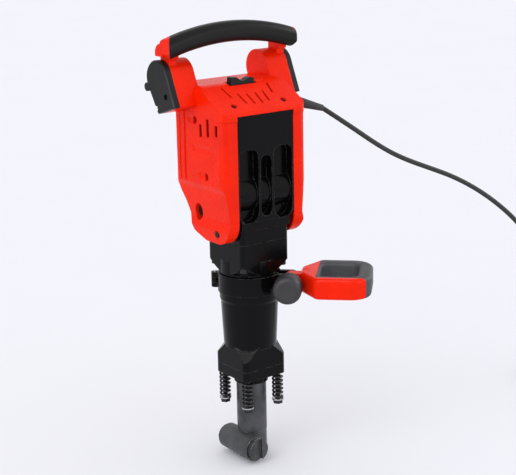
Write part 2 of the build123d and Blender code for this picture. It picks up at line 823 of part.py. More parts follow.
def front_window():
    """Opening for the casting in the front, and for its neck below."""
    opening = block((-window_half, window_half), (body_front - 20.0, slab_back + 2.0), (350.0, window_top))
    inner = case_block_half + gap + 0.2
    return opening + block((-inner, inner), (body_front - 20.0, inner), (350.0, slab_bottom + 0.5))


def arm_face(extra):
    """Side view of a handle arm: a tongue that leans back, with a round top."""
    y, z = arm_centre
    face = Polygon((59.0 + extra, 559.0 - extra), (84.0 + extra, 599.7), (y, z), (36.0 - extra, 624.3),
                   (14.0 - extra, 573.0 - extra), align=None)
    return face + Pos(y, z) * Circle(arm_round + extra)


def arm_clearance():
    """Room that the housing leaves for both arms."""
    cut = prism_x(arm_face(seat), arm_inner - seat, body_half + 10.0)
    return cut + mirrored(cut)


def dent(y_low, y_high, z):
    """Shallow trough with round ends in the side of the right-hand cover."""
    x = body_half + dent_radius - dent_depth
    trough = bar_y(dent_radius, y_low, y_high, x, z)
    return trough + Pos(x, y_low, z) * Sphere(dent_radius) + Pos(x, y_high, z) * Sphere(dent_radius)


def side_screw(y, z):
    """Well and hole of one screw in the right-hand cover."""
    well = bar_x(screw_well_radius, body_half - screw_well_depth, body_half + 5.0, y, z)
    return well + bar_x(screw_radius + seat, body_half - screw_boss_depth - 8.0, body_half, y, z)


def side_cover():
    """Half shell of the housing, without the notch for the cord guard."""
    solid = body_form(0.0)
    shell = solid - body_form(shell_wall)
    bosses = [bar_x(screw_boss_radius, body_half - screw_boss_depth, body_half, y, z) for y, z in side_screws]
    for boss in bosses:
        shell += boss & solid
    collar = Pos(0, 30.6, brush_z) * Rot(9, 0, 0)
    shell += (collar * prism_x(Ellipse(12.5, 16.5), 60.0, body_half)) & solid
    bump = rounded_face([(body_back - 6.0, 486.0), (body_back + 7.0, 494.0), (body_back + 7.0, 514.0),
                         (body_back - 6.0, 524.0)], [0.0, 6.0, 6.0, 0.0])
    shell += prism_x(bump, 46.0, 68.0)
    shell -= collar * prism_x(Ellipse(9.6, 13.6), 50.0, body_half + 5.0)
    shell -= above_seam(-seam_gap)
    shell -= front_window()
    shell -= arm_clearance()
    shell -= block((-100.0, seam_gap / 2), (-100.0, 100.0), (340.0, 620.0))
    for y, z in side_screws:
        shell -= side_screw(y, z)
    for y, low, high in side_slots:
        slot = rounded_face([(y - side_slot_width / 2, low), (y + side_slot_width / 2, low),
                             (y + side_slot_width / 2, high), (y - side_slot_width / 2, high)], [2.0] * 4)
        shell -= prism_x(slot, body_half - 8.0, body_half + 5.0)
    for low, high in ((46.0, 51.0), (60.0, 63.0)):
        shell -= block((body_half - 1.4, body_half + 5.0), (low, high), (456.0, seam_z + 1.0))
    for y, z in side_screws[:2]:
        shell -= dent(y, y + 14.0, z)
    shell -= dent(-24.0, 26.0, 508.0)
    return shell.solids().sort_by(SortBy.VOLUME)[-1]


def guard_hole():
    """Round opening for the cord guard."""
    return guard_axis() * Cylinder(guard_base_radius + 0.02, 24.0)


def slope_place(x, y):
    """Point on the cap's front slope and the plane of the slope there."""
    rise = (body_top - 563.0) / (10.0 - body_front)
    z = body_top + (y - 10.0) * rise
    return Plane(origin=(x, y, z), x_dir=(1, 0, 0), z_dir=(0, -rise, 1))


cap_slots = [(-40.0, -8.0), (-22.0, -22.0), (-7.5, -24.0), (7.5, -24.0), (22.0, -22.0), (40.0, -8.0)]


def top_cap():
    """Cap over the motor, with the air slots and the switch opening."""
    solid = body_form(-0.8)
    shell = solid - body_form(shell_wall)
    for x in (-cap_screw_x, cap_screw_x):
        plane = slope_place(x, cap_screw_y)
        shell += (plane * Pos(0, 0, -9) * Cylinder(screw_boss_radius, 18.0)) & solid
    shell = shell & above_seam(0.0)
    shell -= front_window()
    shell -= arm_clearance()
    shell -= block((-window_half, window_half), (body_front - 5.0, slab_back + 0.5), (550.0, slab_top + 0.5))
    for x in (-cap_screw_x, cap_screw_x):
        plane = slope_place(x, cap_screw_y)
        shell -= plane * Cylinder(screw_well_radius - 1.0, 2 * 5.0)
        shell -= plane * Cylinder(screw_radius + seat, 60.0)
    for x, y in cap_slots:
        shell -= slope_place(x, y) * Rot(0, 0, -0.25 * x) * Box(3.4, 24.0, 24.0)
    half = switch_half + 1.2
    shell -= block((-half, half), (switch_y - switch_depth / 2 - 1.2, switch_y + switch_depth / 2 + 1.2),
                   (body_top - 12.0, body_top + 5.0))
    shell -= guard_hole()
    return shell.solids().sort_by(SortBy.VOLUME)[-1]


def cover_screws():
    """Screws of both side covers and the two of the cap."""
    screws = []
    for y, z in side_screws:
        floor = body_half - screw_well_depth
        head = bar_x(screw_head_radius, floor, floor + screw_head_height, y, z)
        head -= Pos(floor + screw_head_height, y, z) * Box(2.4, 5.6, 1.4)
        head -= Pos(floor + screw_head_height, y, z) * Box(2.4, 1.4, 5.6)
        screw = head + bar_x(screw_radius, body_half - screw_boss_depth - 4.0, floor, y, z)
        screws += [screw, mirrored(screw)]
    for x in (-cap_screw_x, cap_screw_x):
        plane = slope_place(x, cap_screw_y)
        head = Pos(0, 0, -3.5) * Cylinder(screw_head_radius - 0.4, 3.0)
        head -= Pos(0, 0, -2.0) * Box(5.0, 1.3, 2.4)
        head -= Pos(0, 0, -2.0) * Box(1.3, 5.0, 2.4)
        screws.append(plane * (head + Pos(0, 0, -12.0) * Cylinder(screw_radius, 14.0)))
    return group(screws)


# ---- Handle arms ----
def arm_pocket():
    """Room for the handle's leg and its spring in the right-hand arm."""
    side = gap + 0.2
    y_low, y_high = leg_span()
    cut = block((handle_leg_inner - side, handle_leg_outer + side), (y_low - side, y_high + side),
                (handle_spring_bottom, 660.0))
    return cut


def leg_span():
    """Front and back of the handle's legs."""
    return 41.0, 63.0


def right_arm():
    """Red arm that guides the right-hand leg of the handle."""
    body = prism_x(arm_face(0.0), arm_inner, arm_outer)
    body -= arm_pocket()
    for y, z in arm_screws:
        body -= bar_x(screw_radius, arm_outer - 12.0, arm_outer + through, y, z)
    return body


def right_arm_cap():
    """Black cover on the outer face of the right-hand arm."""
    cap = prism_x(arm_face(0.0), arm_outer, arm_outer + arm_cap_thickness)
    rim = cap.edges().filter_by_position(Axis.X, arm_outer + arm_cap_thickness - 0.1,
                                         arm_outer + arm_cap_thickness + 0.1)
    cap = chamfer(rim, 2.0)
    cap += bar_x(6.5, arm_outer + 2.0, arm_outer + arm_cap_thickness, 86.0, 597.0)
    for y, z in arm_screws:
        cap -= bar_x(screw_well_radius - 1.5, arm_outer + 4.0, arm_outer + 20.0, y, z)
        cap -= bar_x(screw_radius + seat, arm_outer - through, arm_outer + 5.0, y, z)
    return cap


def arm_screw_set():
    """Four screws of the arm covers."""
    screws = []
    for y, z in arm_screws:
        floor = arm_outer + 4.0
        head = bar_x(screw_head_radius - 0.6, floor, floor + screw_head_height, y, z)
        head -= Pos(floor + screw_head_height, y, z) * Box(2.4, 5.0, 1.3)
        head -= Pos(floor + screw_head_height, y, z) * Box(2.4, 1.3, 5.0)
        screw = head + bar_x(screw_radius - 0.05, arm_outer - 11.0, floor, y, z)
        screws += [screw, mirrored(screw)]
    return group(screws)


def arm_springs():
    """Two springs under the legs of the handle."""
    x = (handle_leg_inner + handle_leg_outer) / 2
    y = sum(leg_span()) / 2
    spring = coil_spring(4.6, 1.1, 4, handle_spring_bottom + seat, handle_leg_bottom - seat)
    return group([Pos(x, y, 0) * spring, Pos(-x, y, 0) * spring])


# ---- Handle ----
def handle_profile(low_extra, high_extra):
    """Front view of the arched grip."""
    top_left = (-handle_end, handle_end_top - high_extra)
    top_right = (handle_end, handle_end_top - high_extra)
    bottom_left = (-handle_end, handle_end_top - handle_height + low_extra)
    bottom_right = (handle_end, handle_end_top - handle_height + low_extra)
    rise = handle_apex - handle_end_top
    over = ThreePointArc(top_left, (0, top_left[1] + rise), top_right)
    under = ThreePointArc(bottom_right, (0, bottom_left[1] + rise), bottom_left)
    return make_face([over, Line(top_right, bottom_right), under, Line(bottom_left, top_left)])


def grip_solid():
    """Full grip before its core is cut out."""
    grip = prism_y(handle_profile(0.0, 0.0), handle_front, handle_front + handle_depth)
    along = [edge for edge in grip.edges() if edge.length > handle_end]
    grip = fillet(along, handle_rounding)
    corner = [(handle_end - 12.0, handle_end_top - handle_height - 5.0),
              (handle_end + 5.0, handle_end_top - handle_height - 5.0),
              (handle_end + 5.0, handle_end_top - handle_height + 16.0)]
    nose = prism_y(make_face(Polyline(*corner, close=True).edges()), handle_front - 5.0,
                   handle_front + handle_depth + 5.0)
    return grip - nose - mirrored(nose)


def core_bar(radius):
    """Round bar along the middle of the grip."""
    middle = handle_end_top - handle_height / 2
    y = handle_front + handle_depth / 2
    end = handle_end - 6.0
    rise = handle_apex - handle_end_top
    path = ThreePointArc((-end, y, middle + 1.5), (0, y, middle + rise), (end, y, middle + 1.5))
    section = Plane(origin=path @ 0, z_dir=path % 0) * Circle(radius)
    return sweep(section, path=path)


def handle_grip():
    """Soft rubber grip."""
    return grip_solid() - core_bar(handle_core_radius) - leg_room() - end_room()


def leg_room():
    """Upper end of the legs, which the grip leaves free."""
    y_low, y_high = leg_span()
    cut = block((handle_leg_inner, handle_leg_outer), (handle_front + handle_depth / 2, y_high),
                (body_top, 655.0))
    return cut + mirrored(cut)


def end_room():
    """Rear corner of each end of the grip, where the red frame wraps round it."""
    points = [(handle_end + 6.0, handle_front), (handle_end + 6.0, handle_front + 40.0),
              (handle_leg_outer - 10.5, handle_front + 40.0),
              (handle_leg_outer - 10.5, handle_front + handle_depth), (handle_end + 0.5, handle_front + 2.0)]
    cut = prism_z(make_face(Polyline(*points, close=True).edges()), 600.0, 700.0)
    return cut + mirrored(cut)


def handle_frame():
    """Red frame: two legs behind the grip and the bar inside it."""
    y_low, y_high = leg_span()
    side = rounded_face([(y_low, handle_leg_bottom), (y_high, handle_leg_bottom), (y_high, 662.0),
                         (handle_front + handle_depth / 2, 662.0), (handle_front + handle_depth / 2, 640.0),
                         (y_low, 640.0)], [0.0, 0.0, 17.0, 0.0, 0.0, 3.0])
    leg = prism_x(side, handle_leg_inner, handle_leg_outer)
    outer_side = rounded_face([(y_low + 2.0, 645.0), (y_high, 645.0), (y_high, 664.0),
                               (y_low + 2.0, 664.0)], [2.0, 2.0, 14.0, 2.0])
    leg += prism_x(outer_side, handle_leg_inner, handle_end - 1.0)
    legs = leg + mirrored(leg)
    legs -= grip_solid() - leg_room()
    ends = grip_solid() & end_room()
    return legs + ends + core_bar(handle_core_radius)


# ---- Switch ----
def switch_body():
    """Switch block under the rocker."""
    half = switch_half + 1.0
    depth = switch_depth / 2 + 1.0
    body = block((-half, half), (switch_y - depth, switch_y + depth), (566.0, body_top - 3.5))
    body -= block((-half + 2.0, half - 2.0), (switch_y - depth + 1.6, switch_y + depth - 1.6),
                  (578.0, body_top))
    body -= bar_y(switch_pivot_radius + running, switch_y - 20, switch_y + 20, 0, switch_pivot_z - 6.0)
    return body


def switch_rocker():
    """Rocker with a raised lobe at each end, tilted to its left."""
    half = switch_half - 2.6
    depth = switch_depth / 2 - 1.4
    face = rounded_face([(-half, switch_pivot_z - 7.0), (0.0, switch_pivot_z - 10.0),
                         (half, switch_pivot_z - 7.0),
                         (half, switch_pivot_z + 9.0), (half - 9.0, switch_pivot_z + 9.5),
                         (0.0, switch_pivot_z + 3.0), (-half + 9.0, switch_pivot_z + 9.5),
                         (-half, switch_pivot_z + 9.0)], [2.0, 0.0, 2.0, 2.0, 3.0, 9.0, 3.0, 2.0])
    rocker = prism_y(face, switch_y - depth, switch_y + depth)
    rocker += bar_y(switch_pivot_radius, switch_y - switch_depth / 2 - 0.8, switch_y + switch_depth / 2 + 0.8,
                    0, switch_pivot_z - 6.0)
    pivot = Pos(0, switch_y, switch_pivot_z - 6.0)
    return pivot * Rot(0, 5.5, 0) * Pos(0, -switch_y, 6.0 - switch_pivot_z) * rocker


# ---- Side handle ----
aim = Rot(0, 0, grip_heading)
clamp_middle = (clamp_bottom + clamp_top) / 2


def clamp_half(side):
    """Half of the clamp ring, with its lug at the handle and its ear at the hinge."""
    ring = tube(clamp_outer_radius, clamp_seat_radius + running, clamp_bottom, clamp_top)
    ring += block((38.0, lug_bolt_s), (lug_inner, lug_outer),
                  (clamp_middle - lug_radius, clamp_middle + lug_radius))
    ring += bar_y(lug_radius, lug_inner, lug_outer, lug_bolt_s, clamp_middle)
    ring -= disc(clamp_seat_radius + running, clamp_bottom - through, clamp_top + through)
    ring -= block((-80.0, 80.0), (-80.0, clamp_slit / 2), (clamp_bottom - through, clamp_top + through))
    ring -= block((38.0, 90.0), (-80.0, lug_inner), (clamp_bottom - through, clamp_top + through))
    ring -= bar_y(clamp_bolt_radius + seat, 0, 40, lug_bolt_s, clamp_middle)
    middle = clamp_middle
    ear = disc(hinge_radius, clamp_bottom + 3.0, clamp_top - 3.0, hinge_s, 0)
    ear += block((hinge_s, -clamp_seat_radius - 1.0), (clamp_slit / 2, hinge_radius),
                 (clamp_bottom + 3.0, clamp_top - 3.0))
    third = (clamp_top - clamp_bottom - 6.0) / 3
    inner = block((-90.0, 0), (-40, 40), (middle - third / 2, middle + third / 2))
    outer = block((-90.0, 0), (-40, 40), (middle - third / 2 - 0.2, middle + third / 2 + 0.2))
    ring -= disc(hinge_radius + 0.3, clamp_bottom - through, clamp_top + through, hinge_s, 0)
    ear -= disc(clamp_seat_radius + running, clamp_bottom - through, clamp_top + through)
    if side > 0:
        ring += ear & inner
    else:
        ring += ear - outer
    ring -= disc(hinge_pin_radius + seat, clamp_bottom - through, clamp_top + through, hinge_s, 0)
    if side < 0:
        ring = mirror(ring, about=Plane.XZ)
    return aim * ring.solids().sort_by(SortBy.VOLUME)[-1]


def hinge_pin():
    """Pin of the clamp's hinge."""
    return aim * disc(hinge_pin_radius, clamp_bottom + 1.5, clamp_top - 1.5, hinge_s, 0)


def clamp_bolt():
    """Bolt through both lugs, with its head on the far side and a collar under the knob."""
    bolt = bar_y(clamp_bolt_radius, -lug_outer - 1.0, knob_near + knob_bore_depth, lug_bolt_s, clamp_middle)
    head = Pos(lug_bolt_s, -lug_outer - gap, clamp_middle) * Rot(90, 0, 0) * extrude(
        RegularPolygon(8.0, 6, major_radius=False), amount=6.5)
    return aim * mirror(bolt + head, about=Plane.XZ)


def clamp_washers():
    """Stack under the knob: a black ring, a red ring and a dark ring."""
    rings = []
    start = lug_outer + seat
    for radius, width in ((13.0, 3.0), (15.0, 5.0), (14.0, 5.0)):
        end = start + width
        ring = bar_y(radius, start, end, lug_bolt_s, clamp_middle)
        ring -= bar_y(clamp_bolt_radius + seat, start - through, end + through, lug_bolt_s, clamp_middle)
        rings.append(aim * mirror(ring, about=Plane.XZ))
        start += width + 0.05
    return rings


def clamp_knob():
    """Round knob that tightens the clamp; it faces the operator's side."""
    knob = bar_y(knob_radius, knob_near, knob_far, lug_bolt_s, clamp_middle)
    rims = knob.edges().filter_by(GeomType.CIRCLE).sort_by(Axis.Y)
    knob = fillet(rims[-1:], 8.0)
    knob = fillet(knob.edges().filter_by(GeomType.CIRCLE).sort_by(Axis.Y)[:1], 2.5)
    bore_end = knob_near + knob_bore_depth + gap
    knob -= bar_y(clamp_bolt_radius + running, knob_near - through, bore_end, lug_bolt_s, clamp_middle)
    return aim * mirror(knob, about=Plane.XZ)


def loop_face(extra):
    """Top view of the side handle's outline, in the handle's own direction."""
    near = loop_near - extra
    far = loop_far + extra
    half = loop_half + extra
    return rounded_face([(near, -half * 0.3), (near + 26.0, -half), (far, -half), (far, half),
                         (near + 26.0, half), (near, half * 0.3)],
                        [6.0, 14.0, loop_corner + extra, loop_corner + extra, 14.0, 6.0])


def loop_solid():
    """Closed loop of the side handle with its edges rounded."""
    low, high = loop_bottom, loop_top
    outer = prism_z(loop_face(0.0), low, high)
    inner = prism_z(rounded_face(
        [(loop_near + loop_root, -loop_half + loop_bar), (loop_far - loop_bar, -loop_half + loop_bar),
         (loop_far - loop_bar, loop_half - loop_bar), (loop_near + loop_root, loop_half - loop_bar)],
        [9.0, 14.0, 14.0, 9.0]), low - through, high + through)
    loop = outer - inner
    rims = loop.edges().filter_by_position(Axis.Z, high - 0.1, high + 0.1)
    rims += loop.edges().filter_by_position(Axis.Z, low - 0.1, low + 0.1)
    return fillet(rims, 6.0)


def red_share():
    """Space of the red half: the base and the bar on the operator's side."""
    half = loop_bar + 2.0
    near = block((loop_near + 6.0, loop_far - 4.0), (-loop_half - through, -loop_half + loop_bar * 0.55),
                 (clamp_middle - half, clamp_middle + half))
    return near + block((loop_near - 40.0, loop_near + loop_root - 4.0), (-80.0, 80.0),
                        (clamp_middle - half, clamp_middle + half))


def side_handle():
    """Red base with its tongue between the lugs, and the red bar."""
    shell = loop_solid() & red_share()
    tongue = bar_y(tongue_radius, -lug_inner + gap, lug_inner - gap, lug_bolt_s, clamp_middle)
    tongue += block((lug_bolt_s, loop_near + 2.0), (-lug_inner + gap, lug_inner - gap),
                    (clamp_middle - tongue_radius, clamp_middle + tongue_radius))
    tongue += Pos(loop_near + 2.0, 0, clamp_middle) * Rot(0, 90, 0) * Pos(0, 0, 1.0) * extrude(
        RegularPolygon(17.0, 6, major_radius=False), amount=9.0)
    body = shell + tongue
    body -= bar_y(clamp_bolt_radius + seat, -40, 40, lug_bolt_s, clamp_middle)
    return aim * body


def side_grip():
    """Dark rubber of the side handle: the far bar, the end and the inner faces."""
    return aim * (loop_solid() - red_share())


# ---- Cord ----
def guard_axis():
    """Place at the root of the cord guard, looking along it."""
    way = Vector(*guard_end) - Vector(*guard_start)
    return Plane(origin=guard_start, z_dir=way).location


def cord_guard():
    """Tapered rubber sleeve where the cord leaves the cap."""
    length = (Vector(*guard_end) - Vector(*guard_start)).length
    sleeve = Pos(0, 0, length / 2) * Cone(guard_base_radius, guard_tip_radius, length)
    collar = Pos(0, 0, -5.0) * Cylinder(guard_base_radius, 10.0)
    root = Pos(0, 0, -11.2) * Cylinder(guard_base_radius + 2.5, 2.5)
    return guard_axis() * (sleeve + collar + root)


def corner_radii(points):
    """Largest arc that each corner's two runs allow."""
    radii = []
    for before, here, after in zip(points, points[1:], points[2:]):
        first = Vector(*here) - Vector(*before)
        second = Vector(*after) - Vector(*here)
        half_turn = math.radians(first.get_angle(second)) / 2
        radii.append(0.45 * min(first.length, second.length) / math.tan(half_turn))
    return radii


def cord_tube():
    """Free cord from the guard to the coil, as straight runs and tangent arcs."""
    radii = corner_radii(cord_route)
    path = FilletPolyline(*cord_route, radius=radii)
    section = Plane(origin=path @ 0, z_dir=path % 0) * Circle(cord_diameter / 2)
    cord = sweep(section, path=path)
    print("cord radii", [round(radius) for radius in radii], "length", round(path.length))
    print("cord volume over section times length",
          round(cord.volume / (path.length * math.pi * cord_diameter ** 2 / 4), 4))
    return cord


def cord_coil():
    """Outer shape of the coil that the rest of the cord is wound in."""
    half = coil_columns * cord_diameter / 2
    x, y = coil_centre
    return tube(coil_mean_radius + half, coil_mean_radius - half, 0, coil_layers * cord_diameter, x, y)


def plug_place():
    """Place of the plug: on the floor beside the coil, pointing back along the cord."""
    x, y = coil_centre
    return Pos(x - 25.0, y + coil_mean_radius + 14.0, 0) * Rot(0, 0, 175.0)


def plug_body():
    """Moulded plug with its tapered neck, lying on its side."""
    neck = Pos(14.0, 0, 17.0) * Rot(0, 90, 0) * Cone(5.5, 9.0, 28.0)
    head = Pos(28.0 + 19.0, 0, 18.0) * Rot(0, 90, 0) * Cylinder(17.5, 38.0)
    head = chamfer(head.edges().filter_by(GeomType.CIRCLE), 3.0)
    return plug_place() * (neck + head)


def plug_pins():
    """Two round pins."""
    pins = []
    for side in (-9.5, 9.5):
        pins.append(plug_place() * (Pos(66.0 + 9.5, side, 18.0) * Rot(0, 90, 0) * Cylinder(2.4, 19.0)))
    return group(pins)


# ---- All nodes ----
washers = clamp_washers()
half_shell = side_cover()
nodes = {
    "tool_holder": tool_holder(),
    "shank_bush": shank_bush(),
    "buffer_ring": buffer_ring(),
    "retainer_pin": retainer_pin(),
    "retainer_cap": retainer_cap(),
    "front_cover": front_cover(),
    "damper_bolts": damper_bolts(),
    "damper_washers": damper_washers(),
    "damper_springs": damper_springs(),
    "impact_bolt": impact_bolt(),
    "cylinder_liner": cylinder_liner(),
    "striker": striker(),
    "striker_ring": striker_ring(),
    "piston": piston(),
    "piston_rings": piston_rings(),
    "wrist_pin": wrist_pin(),
    "connecting_rod": connecting_rod(),
    "crank_pin": crank_pin(),
    "crank_gear": crank_gear(),
    "ball_bearings": group([crank_bearings(), motor_bearings()]),
    "motor_pinion": motor_pinion(),
    "motor_shaft": motor_shaft(),
    "armature_core": armature_core(),
    "commutator": commutator(),
    "fan": fan(),
    "stator": stator(),
    "motor_frame": motor_frame(),
    "brush_holders": brush_holders(),
    "carbon_brushes": carbon_brushes(),
    "brush_caps": brush_caps(),
    "cylinder_case": cylinder_case(),
    "flange_bolts": flange_bolts(),
    "crankcase": crankcase(),
    "right_cover": half_shell - guard_hole(),
    "left_cover": mirrored(half_shell),
    "top_cap": top_cap(),
    "housing_screws": group([cover_screws(), arm_screw_set()]),
    "right_arm": right_arm(),
    "left_arm": mirrored(right_arm()),
    "right_arm_cap": right_arm_cap(),
    "left_arm_cap": mirrored(right_arm_cap()),
    "arm_springs": arm_springs(),
    "handle_frame": handle_frame(),
    "handle_grip": handle_grip(),
    "switch_body": switch_body(),
    "switch_rocker": switch_rocker(),
    "clamp_front": clamp_half(-1),
    "clamp_rear": clamp_half(1),
    "hinge_pin": hinge_pin(),
    "clamp_bolt": clamp_bolt(),
    "clamp_washers": group([washers[0], washers[2]]),
    "clamp_ring": washers[1],
    "clamp_knob": clamp_knob(),
    "side_handle": side_handle(),
    "side_grip": side_grip(),
    "cord_guard": cord_guard(),
    "cord_tube": cord_tube(),
    "cord_coil": cord_coil(),
    "plug_body": plug_body(),
    "plug_pins": plug_pins(),
}

os.makedirs("parts", exist_ok=True)
for name, shape in nodes.items():
    export_step(shape, f"parts/{name}.step")
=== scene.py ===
"""Looks of an upright electric breaker hammer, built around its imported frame.

All sizes are in metres, in the frame of the tool: +Z runs up along the tool axis from the mouth of
the chisel socket, -Y is the bare casting at the front and X runs along the top handle.
"""

import logging
import math
from dataclasses import dataclass, field
from enum import Enum

import bmesh
import bpy
from mathutils import Matrix, Vector


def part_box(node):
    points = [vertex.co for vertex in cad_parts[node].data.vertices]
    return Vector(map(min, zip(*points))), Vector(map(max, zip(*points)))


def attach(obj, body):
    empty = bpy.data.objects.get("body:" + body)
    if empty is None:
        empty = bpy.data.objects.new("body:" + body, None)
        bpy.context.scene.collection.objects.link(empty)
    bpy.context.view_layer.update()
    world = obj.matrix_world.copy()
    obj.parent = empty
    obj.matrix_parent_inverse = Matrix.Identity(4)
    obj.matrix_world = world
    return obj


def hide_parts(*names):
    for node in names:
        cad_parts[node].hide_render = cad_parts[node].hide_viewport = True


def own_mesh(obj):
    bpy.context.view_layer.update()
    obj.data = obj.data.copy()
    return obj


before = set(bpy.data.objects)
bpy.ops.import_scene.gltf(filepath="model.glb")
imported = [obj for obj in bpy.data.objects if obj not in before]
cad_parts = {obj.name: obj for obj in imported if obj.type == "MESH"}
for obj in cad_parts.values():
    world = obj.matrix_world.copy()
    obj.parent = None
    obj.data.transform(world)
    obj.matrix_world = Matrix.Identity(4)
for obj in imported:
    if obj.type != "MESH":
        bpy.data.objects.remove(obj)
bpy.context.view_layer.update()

LOG = logging.getLogger("breaker")

Rgb = tuple[float, float, float]
Point = tuple[float, float, float]


class Grain(Enum):
    """Kinds of fine relief that a surface can have."""

    MOULDED = "moulded"
    CAST = "cast"
    RUBBER = "rubber"
    STIPPLED = "stippled"
    BRUSHED = "brushed"
    TURNED = "turned"
    PHOSPHATE = "phosphate"
    LAMINATED = "laminated"


class NodeBench:
    """Small helper that adds and joins the nodes of one tree."""

    def __init__(self, tree: bpy.types.NodeTree) -> None:
        """Keep the tree that the nodes go into.

        Args:
            tree: shader or geometry tree to fill.
        """
        self.tree = tree

    def add(self, kind: str, inputs: dict | None = None, **settings: object) -> bpy.types.Node:
        """Add one node.

        Args:
            kind: node type name.
            inputs: input socket name or number to a value, or to a socket that feeds it.
            **settings: plain properties of the node.

        Returns:
            The new node.
        """
        node = self.tree.nodes.new(kind)
        for key, value in settings.items():
            setattr(node, key, value)
        for key, value in (inputs or {}).items():
            if isinstance(value, bpy.types.NodeSocket):
                self.tree.links.new(value, node.inputs[key])
            else:
                node.inputs[key].default_value = value
        return node

    def join(self, source: bpy.types.NodeSocket, target: bpy.types.NodeSocket) -> None:
        """Link an output socket to an input socket."""
        self.tree.links.new(source, target)


@dataclass(frozen=True)
class Finish:
    """One finish: its colours, gloss, fine relief and edge colour, which is real wear on most finishes and a
    painted highlight on the casting.

    Attributes:
        name: name of the material.
        slot: material slot of the record that it belongs to.
        colour: main colour, linear.
        shade: colour of its slightly darker patches, linear.
        grain: kind of fine relief.
        rough: lowest and highest roughness.
        metal: 1 for bare metal.
        coat: weight of a clear gloss layer.
        specular: strength of plain reflection.
        relief: strength of the fine relief.
        pitch: size of the fine relief in metres.
        edge: radius that sharp edges seem rounded to, in metres.
        wear_and_sheen_share: share of the edges that takes the edge colour.
        wear_and_sheen_colour: colour of the edges, linear: rubbed wear on most finishes, a painted highlight
            on the casting.
    """

    name: str
    slot: str
    colour: Rgb
    shade: Rgb
    grain: Grain
    rough: tuple[float, float]
    metal: float = 0.0
    coat: float = 0.0
    specular: float = 0.5
    relief: float = 0.12
    pitch: float = 0.0006
    edge: float = 0.0008
    wear_and_sheen_share: float = 0.25
    wear_and_sheen_colour: Rgb = (0.5, 0.5, 0.5)

    def material(self) -> bpy.types.Material:
        """Build the material once and give it back after that.

        Returns:
            The material of this finish.
        """
        found = bpy.data.materials.get(self.name)
        if found is not None:
            return found
        made = bpy.data.materials.new(self.name)
        made.use_nodes = True
        made.node_tree.nodes.clear()
        bench = NodeBench(made.node_tree)
        place = bench.add("ShaderNodeTexCoord").outputs["Object"]
        height = self.fine_height(bench, place)
        rounded = bench.add("ShaderNodeBevel", {"Radius": self.edge}, samples=4).outputs["Normal"]
        normal = bench.add(
            "ShaderNodeBump",
            {"Strength": self.relief, "Distance": self.pitch * 0.5, "Height": height, "Normal": rounded},
        ).outputs["Normal"]
        patches = bench.add(
            "ShaderNodeTexNoise", {"Vector": place, "Scale": 22.0, "Detail": 5.0, "Roughness": 0.6}
        ).outputs["Fac"]
        specks = bench.add(
            "ShaderNodeTexNoise", {"Vector": place, "Scale": 260.0, "Detail": 3.0, "Roughness": 0.55}
        ).outputs["Fac"]
        colour = self.mixed(bench, self.spread(bench, patches, 0.38, 0.68), self.colour, self.shade)
        # Edge colour: rubbed wear on most finishes; on the casting it is a painted highlight on rims and
        # facet edges.
        wear_and_sheen_mask = self.wear_and_sheen_edges(bench, rounded, specks)
        colour = self.mixed(bench, wear_and_sheen_mask, colour, self.wear_and_sheen_colour)
        blend = bench.add("ShaderNodeMath", {0: patches, 1: specks}, operation="ADD").outputs[0]
        rough = self.spread(bench, blend, 0.7, 1.3, self.rough[0], self.rough[1])
        shader = bench.add(
            "ShaderNodeBsdfPrincipled",
            {
                "Base Color": colour,
                "Roughness": rough,
                "Normal": normal,
                "Metallic": self.metal,
                "Specular IOR Level": self.specular,
                "Coat Weight": self.coat,
                "Coat Roughness": 0.08,
            },
        )
        end = bench.add("ShaderNodeOutputMaterial")
        bench.join(shader.outputs["BSDF"], end.inputs["Surface"])
        return made

    def spread(
        self,
        bench: NodeBench,
        value: bpy.types.NodeSocket,
        low: float,
        high: float,
        to_low: float = 0.0,
        to_high: float = 1.0,
    ) -> bpy.types.NodeSocket:
        """Stretch a value from one range to another.

        Args:
            bench: tree to add to.
            value: socket to stretch.
            low: value that becomes to_low.
            high: value that becomes to_high.
            to_low: lowest result.
            to_high: highest result.

        Returns:
            The stretched value.
        """
        node = bench.add(
            "ShaderNodeMapRange",
            {"Value": value, "From Min": low, "From Max": high, "To Min": to_low, "To Max": to_high},
        )
        return node.outputs["Result"]

    def mixed(
        self,
        bench: NodeBench,
        share: bpy.types.NodeSocket,
        first: bpy.types.NodeSocket | Rgb,
        second: bpy.types.NodeSocket | Rgb,
    ) -> bpy.types.NodeSocket:
        """Mix two colours.

        Args:
            bench: tree to add to.
            share: share of the second colour.
            first: socket or plain colour.
            second: socket or plain colour.

        Returns:
            The mixed colour.
        """
        node = bench.add("ShaderNodeMix", data_type="RGBA")
        bench.join(share, node.inputs[0])
        for socket, value in ((node.inputs[6], first), (node.inputs[7], second)):
            if isinstance(value, bpy.types.NodeSocket):
                bench.join(value, socket)
            else:
                socket.default_value = (*value, 1.0)
        return node.outputs[2]

    def wear_and_sheen_edges(
        self, bench: NodeBench, rounded: bpy.types.NodeSocket, specks: bpy.types.NodeSocket
    ) -> bpy.types.NodeSocket:
        """Find edges, broken up by specks, for the edge colour: rubbed wear, and on the casting a painted
        highlight.

        Args:
            bench: tree to add to.
            rounded: normal with its edges rounded.
            specks: fine noise.

        Returns:
            Share of the edge colour.
        """
        flat = bench.add("ShaderNodeNewGeometry").outputs["Normal"]
        along = bench.add("ShaderNodeVectorMath", {0: rounded, 1: flat}, operation="DOT_PRODUCT")
        edge = self.spread(bench, along.outputs["Value"], 0.985, 0.86)
        broken = self.spread(bench, specks, 0.42, 0.66)
        both = bench.add("ShaderNodeMath", {0: edge, 1: broken}, operation="MULTIPLY").outputs[0]
        return bench.add("ShaderNodeMath", {0: both, 1: self.wear_and_sheen_share}, operation="MULTIPLY").outputs[0]

